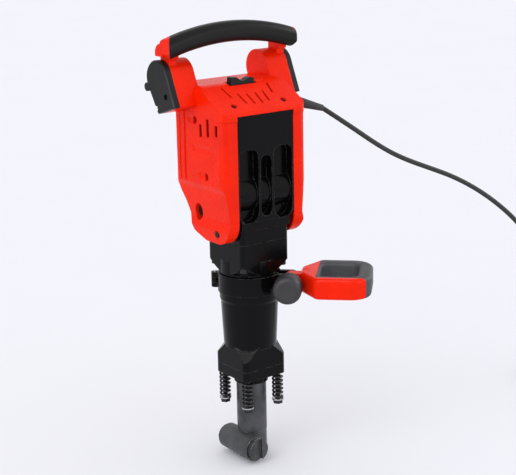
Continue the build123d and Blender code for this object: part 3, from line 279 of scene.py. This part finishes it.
    def fine_height(self, bench: NodeBench, place: bpy.types.NodeSocket) -> bpy.types.NodeSocket:
        """Make the height field of the fine relief.

        Args:
            bench: tree to add to.
            place: object coordinates.

        Returns:
            Height socket.
        """
        fine = 1.0 / self.pitch
        stretch = {
            Grain.BRUSHED: (1.0, 1.0, 0.03),
            Grain.TURNED: (0.02, 0.02, 1.0),
            Grain.LAMINATED: (0.01, 0.01, 1.0),
        }.get(self.grain)
        if stretch is not None:
            place = bench.add("ShaderNodeMapping", {"Vector": place, "Scale": stretch}).outputs["Vector"]
        if self.grain in (Grain.STIPPLED, Grain.PHOSPHATE):
            cells = bench.add("ShaderNodeTexVoronoi", {"Vector": place, "Scale": fine}, feature="SMOOTH_F1")
            return cells.outputs["Distance"]
        detail = 4.0 if self.grain in (Grain.CAST, Grain.RUBBER) else 2.0
        noise = bench.add("ShaderNodeTexNoise", {"Vector": place, "Scale": fine, "Detail": detail})
        return noise.outputs["Fac"]


RED = Finish("red_moulded", "red_plastic", (0.95, 0.018, 0.0), (0.86, 0.013, 0.0), Grain.MOULDED,
             (0.22, 0.36), specular=0.09, relief=0.07, pitch=0.0009, edge=0.0014, wear_and_sheen_share=0.16,
             wear_and_sheen_colour=(0.95, 0.10, 0.04))
BLACK_PLASTIC = Finish("black_moulded", "black_plastic", (0.012, 0.012, 0.013), (0.008, 0.008, 0.009),
                       Grain.MOULDED, (0.3, 0.46), relief=0.18, pitch=0.0006, specular=0.14, wear_and_sheen_share=0.25,
                       wear_and_sheen_colour=(0.07, 0.07, 0.07))
# The casting's light edge colour is a painted highlight on pocket rims, facet edges and neck rings.
CASTING = Finish("black_gloss_casting", "black_casting", (0.0026, 0.0026, 0.0028), (0.0018, 0.0018, 0.002),
                 Grain.CAST, (0.1, 0.24), relief=0.14, pitch=0.0022, edge=0.0018, specular=0.11,
                 wear_and_sheen_share=0.45, wear_and_sheen_colour=(0.18, 0.18, 0.18))
GRIP = Finish("top_grip_rubber", "grip_rubber", (0.0085, 0.0078, 0.0078), (0.006, 0.0056, 0.0056),
              Grain.RUBBER, (0.32, 0.46), relief=0.22, pitch=0.0007, edge=0.002, specular=0.12, wear_and_sheen_share=0.15,
              wear_and_sheen_colour=(0.05, 0.05, 0.05))
KNOB = Finish("knob_rubber", "grip_rubber", (0.038, 0.037, 0.040), (0.028, 0.027, 0.030), Grain.RUBBER,
              (0.42, 0.58), relief=0.25, pitch=0.0007, edge=0.002, specular=0.3, wear_and_sheen_share=0.12,
              wear_and_sheen_colour=(0.1, 0.1, 0.1))
STIPPLE = Finish("side_grip_rubber", "grip_rubber", (0.06, 0.061, 0.066), (0.046, 0.047, 0.052),
                 Grain.STIPPLED, (0.52, 0.68), relief=0.55, pitch=0.0016, edge=0.002, specular=0.35, wear_and_sheen_share=0.1,
                 wear_and_sheen_colour=(0.12, 0.12, 0.12))
SOFT_BLACK = Finish("black_rubber", "black_rubber", (0.013, 0.013, 0.014), (0.009, 0.009, 0.01), Grain.RUBBER,
                    (0.42, 0.6), relief=0.25, pitch=0.0008, specular=0.35, wear_and_sheen_share=0.1, wear_and_sheen_colour=(0.04, 0.04, 0.04))
PHOSPHATE = Finish("grey_phosphate", "phosphated_steel", (0.088, 0.089, 0.092), (0.034, 0.035, 0.037),
                   Grain.PHOSPHATE, (0.34, 0.52), metal=0.6, specular=0.3, relief=0.3, pitch=0.0008,
                   edge=0.001, wear_and_sheen_share=0.85,
                   wear_and_sheen_colour=(0.42, 0.42, 0.42))
GROUND = Finish("ground_steel", "ground_steel", (0.55, 0.56, 0.57), (0.46, 0.46, 0.48), Grain.TURNED,
                (0.14, 0.28), metal=1.0, relief=0.1, pitch=0.0004, wear_and_sheen_share=0.3, wear_and_sheen_colour=(0.75, 0.75, 0.75))
MACHINED = Finish("machined_steel", "machined_steel", (0.36, 0.36, 0.38), (0.29, 0.29, 0.31), Grain.BRUSHED,
                  (0.25, 0.42), metal=1.0, relief=0.15, pitch=0.0005, wear_and_sheen_share=0.4, wear_and_sheen_colour=(0.6, 0.6, 0.6))
BLACK_STEEL = Finish("black_oxide_steel", "black_steel", (0.03, 0.03, 0.032), (0.018, 0.018, 0.02),
                     Grain.CAST, (0.28, 0.45), metal=0.7, relief=0.15, pitch=0.0007, edge=0.0005, wear_and_sheen_share=0.5,
                     wear_and_sheen_colour=(0.22, 0.22, 0.22))
ZINC = Finish("zinc_steel", "bolt_steel", (0.46, 0.46, 0.47), (0.36, 0.36, 0.38), Grain.BRUSHED, (0.2, 0.36),
              metal=1.0, relief=0.12, pitch=0.0005, edge=0.0005, wear_and_sheen_share=0.3, wear_and_sheen_colour=(0.7, 0.7, 0.7))
ALUMINIUM = Finish("turned_aluminium", "cast_aluminium", (0.62, 0.63, 0.64), (0.52, 0.53, 0.55), Grain.TURNED,
                   (0.22, 0.36), metal=1.0, relief=0.12, pitch=0.0005, wear_and_sheen_share=0.2, wear_and_sheen_colour=(0.8, 0.8, 0.8))
CORE = Finish("laminated_core", "core_steel", (0.25, 0.25, 0.27), (0.17, 0.17, 0.19), Grain.LAMINATED,
              (0.35, 0.5), metal=0.9, relief=0.5, pitch=0.0008, wear_and_sheen_share=0.3, wear_and_sheen_colour=(0.4, 0.4, 0.4))
COPPER = Finish("copper_bar", "copper", (0.62, 0.27, 0.13), (0.45, 0.17, 0.08), Grain.TURNED, (0.22, 0.4),
                metal=1.0, relief=0.15, pitch=0.0004, wear_and_sheen_share=0.4, wear_and_sheen_colour=(0.85, 0.5, 0.32))
CARBON = Finish("pressed_carbon", "carbon", (0.03, 0.03, 0.032), (0.02, 0.02, 0.021), Grain.CAST, (0.5, 0.65),
                relief=0.3, pitch=0.0005, wear_and_sheen_share=0.2, wear_and_sheen_colour=(0.1, 0.1, 0.1))
PLATED = Finish("pin_brass", "plated_brass", (0.62, 0.58, 0.48), (0.5, 0.46, 0.38), Grain.BRUSHED,
                (0.16, 0.3), metal=1.0, relief=0.08, pitch=0.0004, edge=0.0004, wear_and_sheen_share=0.3,
                wear_and_sheen_colour=(0.8, 0.76, 0.6))


class MeshBench:
    """Helpers that make plain meshes."""

    @staticmethod
    def piece(name: str, mesh: bpy.types.Mesh, finish: Finish) -> bpy.types.Object:
        """Link a mesh as a named object with its finish.

        Args:
            name: name of the piece.
            mesh: its mesh, already in place.
            finish: its finish.

        Returns:
            The new object.
        """
        mesh.materials.clear()
        mesh.materials.append(finish.material())
        made = bpy.data.objects.new(name, mesh)
        bpy.context.scene.collection.objects.link(made)
        return made

    @staticmethod
    def turned(
        name: str, profile: list[tuple[float, float]], place: Matrix, steps: int = 64
    ) -> bpy.types.Mesh:
        """Turn a closed profile round the local Z axis.

        Args:
            name: name of the mesh.
            profile: (radius, height) points, in order, first and last joined.
            place: where the local frame goes.
            steps: how many faces round.

        Returns:
            The mesh.
        """
        shape = bmesh.new()
        rings = []
        for step in range(steps):
            turn = 2.0 * math.pi * step / steps
            ring = [shape.verts.new((r * math.cos(turn), r * math.sin(turn), z)) for r, z in profile]
            rings.append(ring)
        count = len(profile)
        for step in range(steps):
            here, there = rings[step], rings[(step + 1) % steps]
            for index in range(count):
                after = (index + 1) % count
                shape.faces.new((here[index], there[index], there[after], here[after]))
        bmesh.ops.remove_doubles(shape, verts=shape.verts, dist=1e-6)
        bmesh.ops.recalc_face_normals(shape, faces=shape.faces)
        shape.transform(place)
        mesh = bpy.data.meshes.new(name)
        shape.to_mesh(mesh)
        shape.free()
        mesh.shade_smooth()
        return mesh


class RepeatTree:
    """Geometry tree that sets copies of a seed mesh along a line or round a ring."""

    def __init__(self, name: str, inputs: dict[str, float]) -> None:
        """Start the tree with its named inputs.

        Args:
            name: name of the tree.
            inputs: input name to its value.
        """
        self.tree = bpy.data.node_groups.new(name, "GeometryNodeTree")
        self.bench = NodeBench(self.tree)
        self.values = dict(inputs)
        self.sockets = {}
        face = self.tree.interface
        face.new_socket(name="Geometry", in_out="INPUT", socket_type="NodeSocketGeometry")
        for key, value in inputs.items():
            kind = "NodeSocketInt" if isinstance(value, int) else "NodeSocketFloat"
            self.sockets[key] = face.new_socket(name=key, in_out="INPUT", socket_type=kind)
        face.new_socket(name="Geometry", in_out="OUTPUT", socket_type="NodeSocketGeometry")
        self.start = self.bench.add("NodeGroupInput")
        self.end = self.bench.add("NodeGroupOutput")

    def given(self, name: str) -> bpy.types.NodeSocket:
        """Give the socket of a named input."""
        return self.start.outputs[name]

    def close(self, copies: bpy.types.NodeSocket, finish: Finish) -> None:
        """End the tree: real copies, with their finish.

        Args:
            copies: instances to make real.
            finish: finish of the result.
        """
        real = self.bench.add("GeometryNodeRealizeInstances", {"Geometry": copies}).outputs[0]
        dressed = self.bench.add("GeometryNodeSetMaterial", {"Geometry": real, "Material": finish.material()})
        self.bench.join(dressed.outputs[0], self.end.inputs[0])

    def run(self, name: str, mesh: bpy.types.Mesh) -> bpy.types.Mesh:
        """Evaluate the tree on a mesh.

        Args:
            name: name of the resulting mesh.
            mesh: mesh that the tree starts from.

        Returns:
            A plain mesh with every copy in it.
        """
        holder = bpy.data.objects.new(name + "_holder", mesh)
        bpy.context.scene.collection.objects.link(holder)
        modifier = holder.modifiers.new(self.tree.name, "NODES")
        modifier.node_group = self.tree
        for key, value in self.values.items():
            modifier[self.sockets[key].identifier] = value
        bpy.context.view_layer.update()
        graph = bpy.context.evaluated_depsgraph_get()
        result = bpy.data.meshes.new_from_object(holder.evaluated_get(graph))
        result.name = name
        holder.modifiers.clear()
        bpy.data.objects.remove(holder)
        return result


def ring_copies(name: str, seed: bpy.types.Mesh, count: int, finish: Finish, centre: Point) -> bpy.types.Mesh:
    """Set copies of a seed mesh round the tool's Z direction.

    Args:
        name: name of the mesh.
        seed: one copy, in place at angle zero round the origin.
        count: how many copies.
        finish: finish of the copies.
        centre: point that the axis goes through.

    Returns:
        One mesh with every copy.
    """
    work = RepeatTree(name + "_ring", {"Count": count, "Full Turn": 2.0 * math.pi})
    bench = work.bench
    points = bench.add("GeometryNodePoints", {"Count": work.given("Count")}).outputs[0]
    index = bench.add("GeometryNodeInputIndex").outputs[0]
    share = bench.add("ShaderNodeMath", {0: index, 1: work.given("Count")}, operation="DIVIDE").outputs[0]
    full = work.given("Full Turn")
    angle = bench.add("ShaderNodeMath", {0: share, 1: full}, operation="MULTIPLY").outputs[0]
    turn = bench.add("ShaderNodeCombineXYZ", {"Z": angle}).outputs[0]
    copies = bench.add(
        "GeometryNodeInstanceOnPoints",
        {"Points": points, "Instance": work.given("Geometry"), "Rotation": turn},
    ).outputs[0]
    work.close(copies, finish)
    mesh = work.run(name, seed)
    mesh.transform(Matrix.Translation(centre))
    return mesh


def row_copies(
    name: str, seed: bpy.types.Mesh, count: int, step: float, shrink: float, finish: Finish, place: Matrix
) -> bpy.types.Mesh:
    """Set copies of a seed mesh in a row along local Z, each a little smaller than the last.

    Args:
        name: name of the mesh.
        seed: one copy round the local origin.
        count: how many copies.
        step: distance from one to the next.
        shrink: how much the size falls with each copy.
        finish: finish of the copies.
        place: where the local frame goes.

    Returns:
        One mesh with every copy.
    """
    work = RepeatTree(name + "_row", {"Count": count, "Step": step, "Shrink": shrink})
    bench = work.bench
    index = bench.add("GeometryNodeInputIndex").outputs[0]
    height = bench.add("ShaderNodeMath", {0: index, 1: work.given("Step")}, operation="MULTIPLY").outputs[0]
    spot = bench.add("ShaderNodeCombineXYZ", {"Z": height}).outputs[0]
    points = bench.add("GeometryNodePoints", {"Count": work.given("Count"), "Position": spot}).outputs[0]
    loss = bench.add("ShaderNodeMath", {0: index, 1: work.given("Shrink")}, operation="MULTIPLY").outputs[0]
    size = bench.add("ShaderNodeMath", {0: 1.0, 1: loss}, operation="SUBTRACT").outputs[0]
    scale = bench.add("ShaderNodeCombineXYZ", {"X": size, "Y": size, "Z": 1.0}).outputs[0]
    copies = bench.add(
        "GeometryNodeInstanceOnPoints", {"Points": points, "Instance": work.given("Geometry"), "Scale": scale}
    ).outputs[0]
    work.close(copies, finish)
    mesh = work.run(name, seed)
    mesh.transform(place)
    return mesh


@dataclass
class Studio:
    """Floor, light and camera around the tool."""

    azimuth: float = math.radians(37.06)
    elevation: float = math.radians(15.11)
    roll: float = math.radians(-1.13)
    distance: float = 2.03563
    side_shift: float = 0.01527
    height: float = 0.35917
    focal_mm: float = 91.83
    floor_radius: float = 14.0
    floor_drop: float = 0.0006
    room_light: float = 0.92

    def build(self) -> None:
        """Make the camera, the floor and the lights."""
        bpy.context.scene.view_settings.view_transform = "Standard"
        self.make_camera()
        self.make_floor()
        self.make_lights()

    def make_camera(self) -> None:
        """Set the camera on the tool from the front left, a little above it."""
        a, p = self.azimuth, self.elevation
        back = Vector((-math.sin(a) * math.cos(p), -math.cos(a) * math.cos(p), math.sin(p)))
        right = Vector((math.cos(a), -math.sin(a), 0.0))
        up = back.cross(right)
        turned_right = right * math.cos(self.roll) + up * math.sin(self.roll)
        turned_up = up * math.cos(self.roll) - right * math.sin(self.roll)
        spot = back * self.distance + right * self.side_shift + Vector((0.0, 0.0, self.height))
        lens = bpy.data.cameras.new("camera")
        lens.sensor_width = 36.0
        lens.lens = self.focal_mm
        lens.clip_end = 60.0
        camera = bpy.data.objects.new("camera", lens)
        turn = Matrix((turned_right, turned_up, back)).transposed().to_4x4()
        camera.matrix_world = Matrix.Translation(spot) @ turn
        bpy.context.scene.collection.objects.link(camera)
        bpy.context.scene.camera = camera

    def make_floor(self) -> None:
        """Lay a plain pale floor just under the tool."""
        shape = bmesh.new()
        bmesh.ops.create_circle(shape, cap_ends=True, segments=96, radius=self.floor_radius)
        shape.transform(Matrix.Translation((0.0, 0.0, -self.floor_drop)))
        mesh = bpy.data.meshes.new("floor")
        shape.to_mesh(mesh)
        shape.free()
        floor = bpy.data.objects.new("floor", mesh)
        bpy.context.scene.collection.objects.link(floor)
        pale = bpy.data.materials.new("pale_floor")
        pale.use_nodes = True
        bench = NodeBench(pale.node_tree)
        shader = pale.node_tree.nodes["Principled BSDF"]
        place = bench.add("ShaderNodeTexCoord").outputs["Object"]
        noise = bench.add("ShaderNodeTexNoise", {"Vector": place, "Scale": 3.0}).outputs["Fac"]
        tone = bench.add("ShaderNodeMix", data_type="RGBA")
        bench.join(noise, tone.inputs[0])
        tone.inputs[6].default_value = (0.88, 0.88, 0.91, 1.0)
        tone.inputs[7].default_value = (0.86, 0.86, 0.89, 1.0)
        bench.join(tone.outputs[2], shader.inputs["Base Color"])
        shader.inputs["Roughness"].default_value = 0.7
        shader.inputs["Specular IOR Level"].default_value = 0.2
        mesh.materials.append(pale)

    def make_lights(self) -> None:
        """Hang soft boxes round the tool and light the room evenly."""
        world = bpy.data.worlds.new("studio")
        world.use_nodes = True
        bench = NodeBench(world.node_tree)
        lit = world.node_tree.nodes["Background"]
        lit.inputs["Color"].default_value = (0.95, 0.96, 1.0, 1.0)
        lit.inputs["Strength"].default_value = self.room_light
        seen = bench.add("ShaderNodeBackground", {"Color": (0.88, 0.875, 0.94, 1.0), "Strength": 1.0})
        ray = bench.add("ShaderNodeLightPath").outputs["Is Camera Ray"]
        both = bench.add(
            "ShaderNodeMixShader", {0: ray, 1: lit.outputs["Background"], 2: seen.outputs["Background"]}
        )
        bench.join(both.outputs[0], world.node_tree.nodes["World Output"].inputs["Surface"])
        bpy.context.scene.world = world
        suns = (
            ("key", (-1.7, -0.6, 1.9), math.radians(50.0), 0.62),
            ("fill", (1.2, -1.6, 1.8), math.radians(70.0), 0.26),
        )
        for name, spot, spread, power in suns:
            sun = bpy.data.lights.new(name, "SUN")
            sun.angle = spread
            sun.energy = power
            self.hang(name, sun, spot)
        boxes = (
            ("left_box", (-1.5, -0.5, 0.85), 0.1, 0.9, 16.0),
            ("front_box", (0.5, -1.9, 0.85), 0.08, 0.9, 13.0),
            ("right_box", (1.4, -0.3, 0.9), 0.1, 0.9, 14.0),
            ("high_box", (-0.7, -0.5, 1.9), 0.5, 0.12, 12.0),
        )
        for name, spot, width, tall, power in boxes:
            lamp = bpy.data.lights.new(name, "AREA")
            lamp.shape = "RECTANGLE"
            lamp.size = width
            lamp.size_y = tall
            lamp.energy = power
            self.hang(name, lamp, spot).visible_diffuse = False

    def hang(self, name: str, lamp: bpy.types.Light, spot: Point) -> bpy.types.Object:
        """Hang a lamp where it belongs, turned to the middle of the tool.

        Args:
            name: name of the lamp's object.
            lamp: lamp to hang.
            spot: its place.

        Returns:
            The lamp's object.
        """
        holder = bpy.data.objects.new(name, lamp)
        aim = Vector((0.0, 0.0, 0.38)) - Vector(spot)
        holder.matrix_world = Matrix.Translation(spot) @ aim.to_track_quat("-Z", "Y").to_matrix().to_4x4()
        bpy.context.scene.collection.objects.link(holder)
        return holder


@dataclass
class MainsCord:
    """Mains cord: tapered sleeve at the housing, free lead, neat coil and plug."""

    diameter: float = 0.008
    exit: Point = (0.146, -0.0065, 0.5455)
    sleeve_start: Point = (0.079, -0.004, 0.5665)
    lead: tuple[Point, ...] = (
        (0.146, -0.0065, 0.5455),
        (0.188, -0.024, 0.514),
        (0.222, -0.037, 0.4875),
        (0.253, -0.048, 0.466),
        (0.285, -0.0595, 0.449),
        (0.320, -0.072, 0.434),
        (0.357, -0.0855, 0.4175),
        (0.395, -0.0995, 0.395),
        (0.432, -0.113, 0.367),
        (0.468, -0.126, 0.333),
        (0.506, -0.140, 0.286),
        (0.539, -0.153, 0.230),
        (0.562, -0.161, 0.170),
        (0.577, -0.167, 0.113),
        (0.590, -0.171, 0.064),
        (0.614, -0.178, 0.021),
        (0.645, -0.190, 0.0045),
    )
    coil_centre: tuple[float, float] = (0.690, -0.142)
    turn_points: int = 16
    pitch: float = 0.00815
    outer_radius: float = 0.0602
    first_angle: float = math.radians(249.0)
    turns: float = 6.5
    draw_in: float = 0.9954
    first_layer: float = 0.0041
    to_plug: tuple[Point, ...] = (
        (0.6865, -0.0805, 0.0135),
        (0.6740, -0.0805, 0.0165),
        (0.6640, -0.0799, 0.0172),
        (0.6560, -0.0792, 0.0172),
    )
    steps: tuple[tuple[float, int, int], ...] = field(
        default=(
            (0.75, 0, 0), (1.0, 1, 0), (1.75, 1, 0), (2.0, 2, 0), (2.75, 2, 0), (3.0, 3, 0), (3.5, 3, 0),
            (3.75, 3, 1), (4.25, 3, 1), (4.5, 2, 1), (5.25, 2, 1), (5.5, 1, 1), (6.25, 1, 1), (6.5, 0, 1),
            (7.5, 0, 1),
        )
    )

    def column_and_layer(self, turn: float) -> tuple[float, float]:
        """Say where a turn of the coil lies.

        Args:
            turn: how many turns from the start of the coil.

        Returns:
            Its column, 0 outermost, and its layer, 0 on the floor.
        """
        before = (0.0, 0, 0)
        for after in self.steps:
            if turn <= after[0]:
                share = (turn - before[0]) / (after[0] - before[0])
                share = share * share * (3.0 - 2.0 * share)
                column = before[1] + (after[1] - before[1]) * share
                return column, before[2] + (after[2] - before[2]) * share
            before = after
        return float(before[1]), float(before[2])

    def coil_points(self) -> list[Point]:
        """Wind the coil: inwards on the floor, then outwards on top of that.

        Returns:
            Control points of the coil's turns.
        """
        outward = 1.0 / (0.5 * (1.0 + math.cos(math.pi / self.turn_points)) * self.draw_in)
        points = []
        for index in range(round(self.turns * self.turn_points) + 1):
            turn = index / self.turn_points
            column, layer = self.column_and_layer(turn)
            radius = (self.outer_radius - column * self.pitch) * outward
            angle = self.first_angle + 2.0 * math.pi * turn
            x = self.coil_centre[0] + radius * math.cos(angle)
            y = self.coil_centre[1] + radius * math.sin(angle)
            points.append((x, y, self.first_layer + layer * self.pitch))
        return points

    def build(self) -> None:
        """Make the sleeve and the cord."""
        sleeve = self.make_sleeve()
        cord = self.make_cord()
        LOG.info("sleeve %s and cord %s", sleeve.name, cord.name)

    def make_cord(self) -> bpy.types.Object:
        """Lay the cord from the sleeve's tip to the plug.

        Returns:
            The cord, a curve of one open spline.
        """
        points = [*self.lead, *self.coil_points(), *self.to_plug]
        curve = bpy.data.curves.new("mains_cord", "CURVE")
        curve.dimensions = "3D"
        curve.bevel_depth = self.diameter / 2.0
        curve.bevel_resolution = 3
        curve.resolution_u = 4
        curve.use_fill_caps = True
        spline = curve.splines.new("NURBS")
        spline.points.add(len(points) - 1)
        for target, point in zip(spline.points, points):
            target.co = (*point, 1.0)
        spline.order_u = 3
        spline.use_endpoint_u = True
        curve.materials.append(SOFT_BLACK.material())
        cord = bpy.data.objects.new("mains_cord", curve)
        bpy.context.scene.collection.objects.link(cord)
        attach(cord, "case")
        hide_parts("cord_tube", "cord_coil")
        length = self.line_length(cord)
        LOG.info("cord length %.3f m", length)
        return cord

    def line_length(self, cord: bpy.types.Object) -> float:
        """Measure the cord along its middle.

        Args:
            cord: the cord's curve object.

        Returns:
            Length in metres.
        """
        copy = cord.data.copy()
        copy.bevel_depth = 0.0
        copy.resolution_u = 24
        holder = bpy.data.objects.new("line", copy)
        bpy.context.scene.collection.objects.link(holder)
        bpy.context.view_layer.update()
        graph = bpy.context.evaluated_depsgraph_get()
        mesh = bpy.data.meshes.new_from_object(holder.evaluated_get(graph))
        length = 0.0
        for edge in mesh.edges:
            first, second = (mesh.vertices[i].co for i in edge.vertices)
            length += (second - first).length
        bpy.data.objects.remove(holder)
        bpy.data.meshes.remove(mesh)
        bpy.data.curves.remove(copy)
        return length

    def make_sleeve(self) -> bpy.types.Object:
        """Make the tapered bend sleeve with its soft rings.

        Returns:
            The sleeve.
        """
        start, tip = Vector(self.sleeve_start), Vector(self.exit)
        along = tip - start
        place = Matrix.Translation(start) @ along.to_track_quat("Z", "Y").to_matrix().to_4x4()
        length = along.length
        root, end = 0.0092, 0.0050
        bore = self.diameter / 2.0 + 0.00005
        profile = [(bore, 0.0), (root, 0.0), (root, 0.012), (root * 0.88, 0.0145), (end, length - 0.0012),
                   (end - 0.0008, length), (bore, length)]
        core = MeshBench.turned("sleeve_core", profile, Matrix.Identity(4))
        seed = MeshBench.turned(
            "sleeve_ring",
            [(0.0070, -0.0011), (0.0083, -0.0010), (0.0086, 0.0), (0.0083, 0.0010), (0.0070, 0.0011)],
            Matrix.Identity(4),
        )
        count = 11
        shrink = 0.37 / (count - 1)
        rings = row_copies(
            "sleeve_rings", seed, count, 0.0044, shrink, SOFT_BLACK, Matrix.Translation((0.0, 0.0, 0.0185))
        )
        joined = bmesh.new()
        joined.from_mesh(core)
        joined.from_mesh(rings)
        joined.transform(place)
        mesh = bpy.data.meshes.new("cord_sleeve")
        joined.to_mesh(mesh)
        joined.free()
        mesh.shade_smooth()
        sleeve = MeshBench.piece("cord_sleeve", mesh, SOFT_BLACK)
        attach(sleeve, "case")
        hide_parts("cord_guard")
        return sleeve


@dataclass
class Springs:
    """One set of like coil springs.

    Attributes:
        node: node of the frame that the set stands for.
        body: body that the set rides on.
        joint: joint that presses it.
        travel: longest way that the joint goes, in metres; not used.
        wire: radius of the wire.
        coils: turns of one spring.
        columns: how many springs stand along X, at the outer edges of the node's box.
        rows: how many stand along Y.
        outer: outer radius of one spring, or None to take half the depth of the node's box.
        wire_share: share of the wire's radius that is wound, so that the set stays inside its room.
    """

    node: str
    body: str
    joint: str
    travel: float
    wire: float
    coils: float
    columns: int
    rows: int
    outer: float | None = None
    wire_share: float = 0.97

    def build(self) -> None:
        """Wind the springs, hang them on their body and hide the node that they stand for."""
        low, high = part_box(self.node)
        height = high.z - low.z
        mesh = self.wound(low, high, height)
        piece = MeshBench.piece(self.node.removesuffix("_springs") + "_coils", mesh, BLACK_STEEL)
        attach(piece, self.body)
        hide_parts(self.node)
        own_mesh(piece)
        LOG.info("%d springs under %s", self.columns * self.rows, self.joint)

    def wound(self, low: Vector, high: Vector, height: float) -> bpy.types.Mesh:
        """Wind round wire into one spring and set its copies in their places.

        Args:
            low: lowest corner of the node.
            high: highest corner of the node.
            height: height of a spring.

        Returns:
            One mesh with every spring.
        """
        outer = (high.y - low.y) / 2.0 if self.outer is None else self.outer
        across = outer * 2.0
        values = {
            "Wire Radius": self.wire * self.wire_share,
            "Coil Radius": outer - self.wire,
            "Coils": self.coils,
            "Free Height": height - 2.0 * self.wire,
            "Width": high.x - low.x - across,
            "Depth": 0.0 if self.rows == 1 else high.y - low.y - across,
            "Columns": self.columns,
            "Rows": self.rows,
        }
        work = RepeatTree(self.node + "_wound", values)
        bench = work.bench
        coil = bench.add(
            "GeometryNodeCurveSpiral",
            {
                "Resolution": 20,
                "Rotations": work.given("Coils"),
                "Start Radius": work.given("Coil Radius"),
                "End Radius": work.given("Coil Radius"),
                "Height": work.given("Free Height"),
            },
        ).outputs[0]
        section = bench.add(
            "GeometryNodeCurvePrimitiveCircle", {"Resolution": 10, "Radius": work.given("Wire Radius")}
        ).outputs[0]
        wire = bench.add(
            "GeometryNodeCurveToMesh", {"Curve": coil, "Profile Curve": section, "Fill Caps": True}
        ).outputs[0]
        places = bench.add(
            "GeometryNodeMeshGrid",
            {
                "Size X": work.given("Width"),
                "Size Y": work.given("Depth"),
                "Vertices X": work.given("Columns"),
                "Vertices Y": work.given("Rows"),
            },
        ).outputs[0]
        copies = bench.add("GeometryNodeInstanceOnPoints", {"Points": places, "Instance": wire}).outputs[0]
        work.close(copies, BLACK_STEEL)
        mesh = work.run(self.node + "_wire", bpy.data.meshes.new("start"))
        middle = ((low.x + high.x) / 2.0, (low.y + high.y) / 2.0, low.z + self.wire)
        mesh.transform(Matrix.Translation(middle))
        mesh.shade_smooth()
        return mesh


@dataclass
class Motor:
    """Copper bars of the commutator, set round the motor shaft."""

    bars: int = 24
    gap: float = 0.0006
    inner_share: float = 0.62
    inner_taper: float = 0.92

    def build(self) -> None:
        """Make the commutator out of separate bars."""
        low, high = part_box("commutator")
        radius = (high.x - low.x) / 2.0
        centre = ((low.x + high.x) / 2.0, (low.y + high.y) / 2.0, 0.0)
        shaft_low, shaft_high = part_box("motor_pinion")
        inner = max(radius * self.inner_share, (shaft_high.x - shaft_low.x) / 4.0)
        half = math.pi / self.bars - self.gap / (2.0 * radius)
        bar = bmesh.new()
        corners = []
        for height in (low.z, high.z):
            for r, side in ((inner, -1), (radius, -1), (radius, 0), (radius, 1), (inner, 1)):
                angle = half * side * (1.0 if r == radius else self.inner_taper)
                corners.append(bar.verts.new((r * math.cos(angle), r * math.sin(angle), height)))
        bar.faces.new(corners[4::-1])
        bar.faces.new(corners[5:])
        for index in range(5):
            after = (index + 1) % 5
            bar.faces.new((corners[index], corners[after], corners[after + 5], corners[index + 5]))
        bmesh.ops.recalc_face_normals(bar, faces=bar.faces)
        seed = bpy.data.meshes.new("bar")
        bar.to_mesh(seed)
        bar.free()
        mesh = ring_copies("commutator_bars", seed, self.bars, COPPER, centre)
        piece = MeshBench.piece("commutator_bars", mesh, COPPER)
        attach(piece, "armature")
        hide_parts("commutator")
        LOG.info("commutator of %d bars", self.bars)


@dataclass
class FrameDressing:
    """Finishes of the frame's own nodes."""

    finishes: dict[str, Finish] = field(
        default_factory=lambda: {
            **dict.fromkeys(
                ("right_cover", "left_cover", "top_cap", "right_arm", "left_arm", "handle_frame",
                 "side_handle", "clamp_ring"), RED),
            **dict.fromkeys(
                ("right_arm_cap", "left_arm_cap", "brush_caps", "brush_holders", "motor_frame", "switch_body",
                 "switch_rocker", "plug_body", "fan"), BLACK_PLASTIC),
            **dict.fromkeys(
                ("cylinder_case", "crankcase", "front_cover", "clamp_front", "clamp_rear"), CASTING),
            "handle_grip": GRIP,
            "clamp_knob": KNOB,
            "side_grip": STIPPLE,
            **dict.fromkeys(
                ("retainer_cap", "buffer_ring", "striker_ring", "piston_rings", "cord_guard", "cord_tube",
                 "cord_coil"), SOFT_BLACK),
            **dict.fromkeys(("tool_holder", "retainer_pin"), PHOSPHATE),
            **dict.fromkeys(
                ("shank_bush", "impact_bolt", "cylinder_liner", "striker", "wrist_pin", "crank_pin",
                 "motor_shaft", "hinge_pin", "ball_bearings"), GROUND),
            **dict.fromkeys(("connecting_rod", "crank_gear", "motor_pinion"), MACHINED),
            **dict.fromkeys(
                ("damper_bolts", "damper_springs", "flange_bolts", "housing_screws", "arm_springs",
                 "clamp_washers"), BLACK_STEEL),
            **dict.fromkeys(("damper_washers", "clamp_bolt"), ZINC),
            "piston": ALUMINIUM,
            "stator": CORE,
            "armature_core": CORE,
            "commutator": COPPER,
            "carbon_brushes": CARBON,
            "plug_pins": PLATED,
        }
    )

    def build(self) -> None:
        """Give every node of the frame its finish."""
        for name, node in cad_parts.items():
            material = self.finishes[name].material()
            if not node.material_slots:
                node.data.materials.append(material)
            for slot in node.material_slots:
                slot.material = material
        LOG.info("dressed %d nodes", len(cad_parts))


def main() -> None:
    """Build the scene in order."""
    logging.basicConfig(level=logging.INFO, format="%(name)s: %(message)s")
    front = Springs("damper_springs", "case", "front_plate_slide", 0.006, 0.0019, 6.0, 2, 2, outer=0.0093)
    handle = Springs("arm_springs", "case", "handle_spring_slide", 0.005, 0.0011, 4.0, 2, 1)
    for part in (Studio(), FrameDressing(), MainsCord(), front, handle, Motor()):
        part.build()
        LOG.info("built %s", type(part).__name__)


if __name__ == "__main__":
    main()
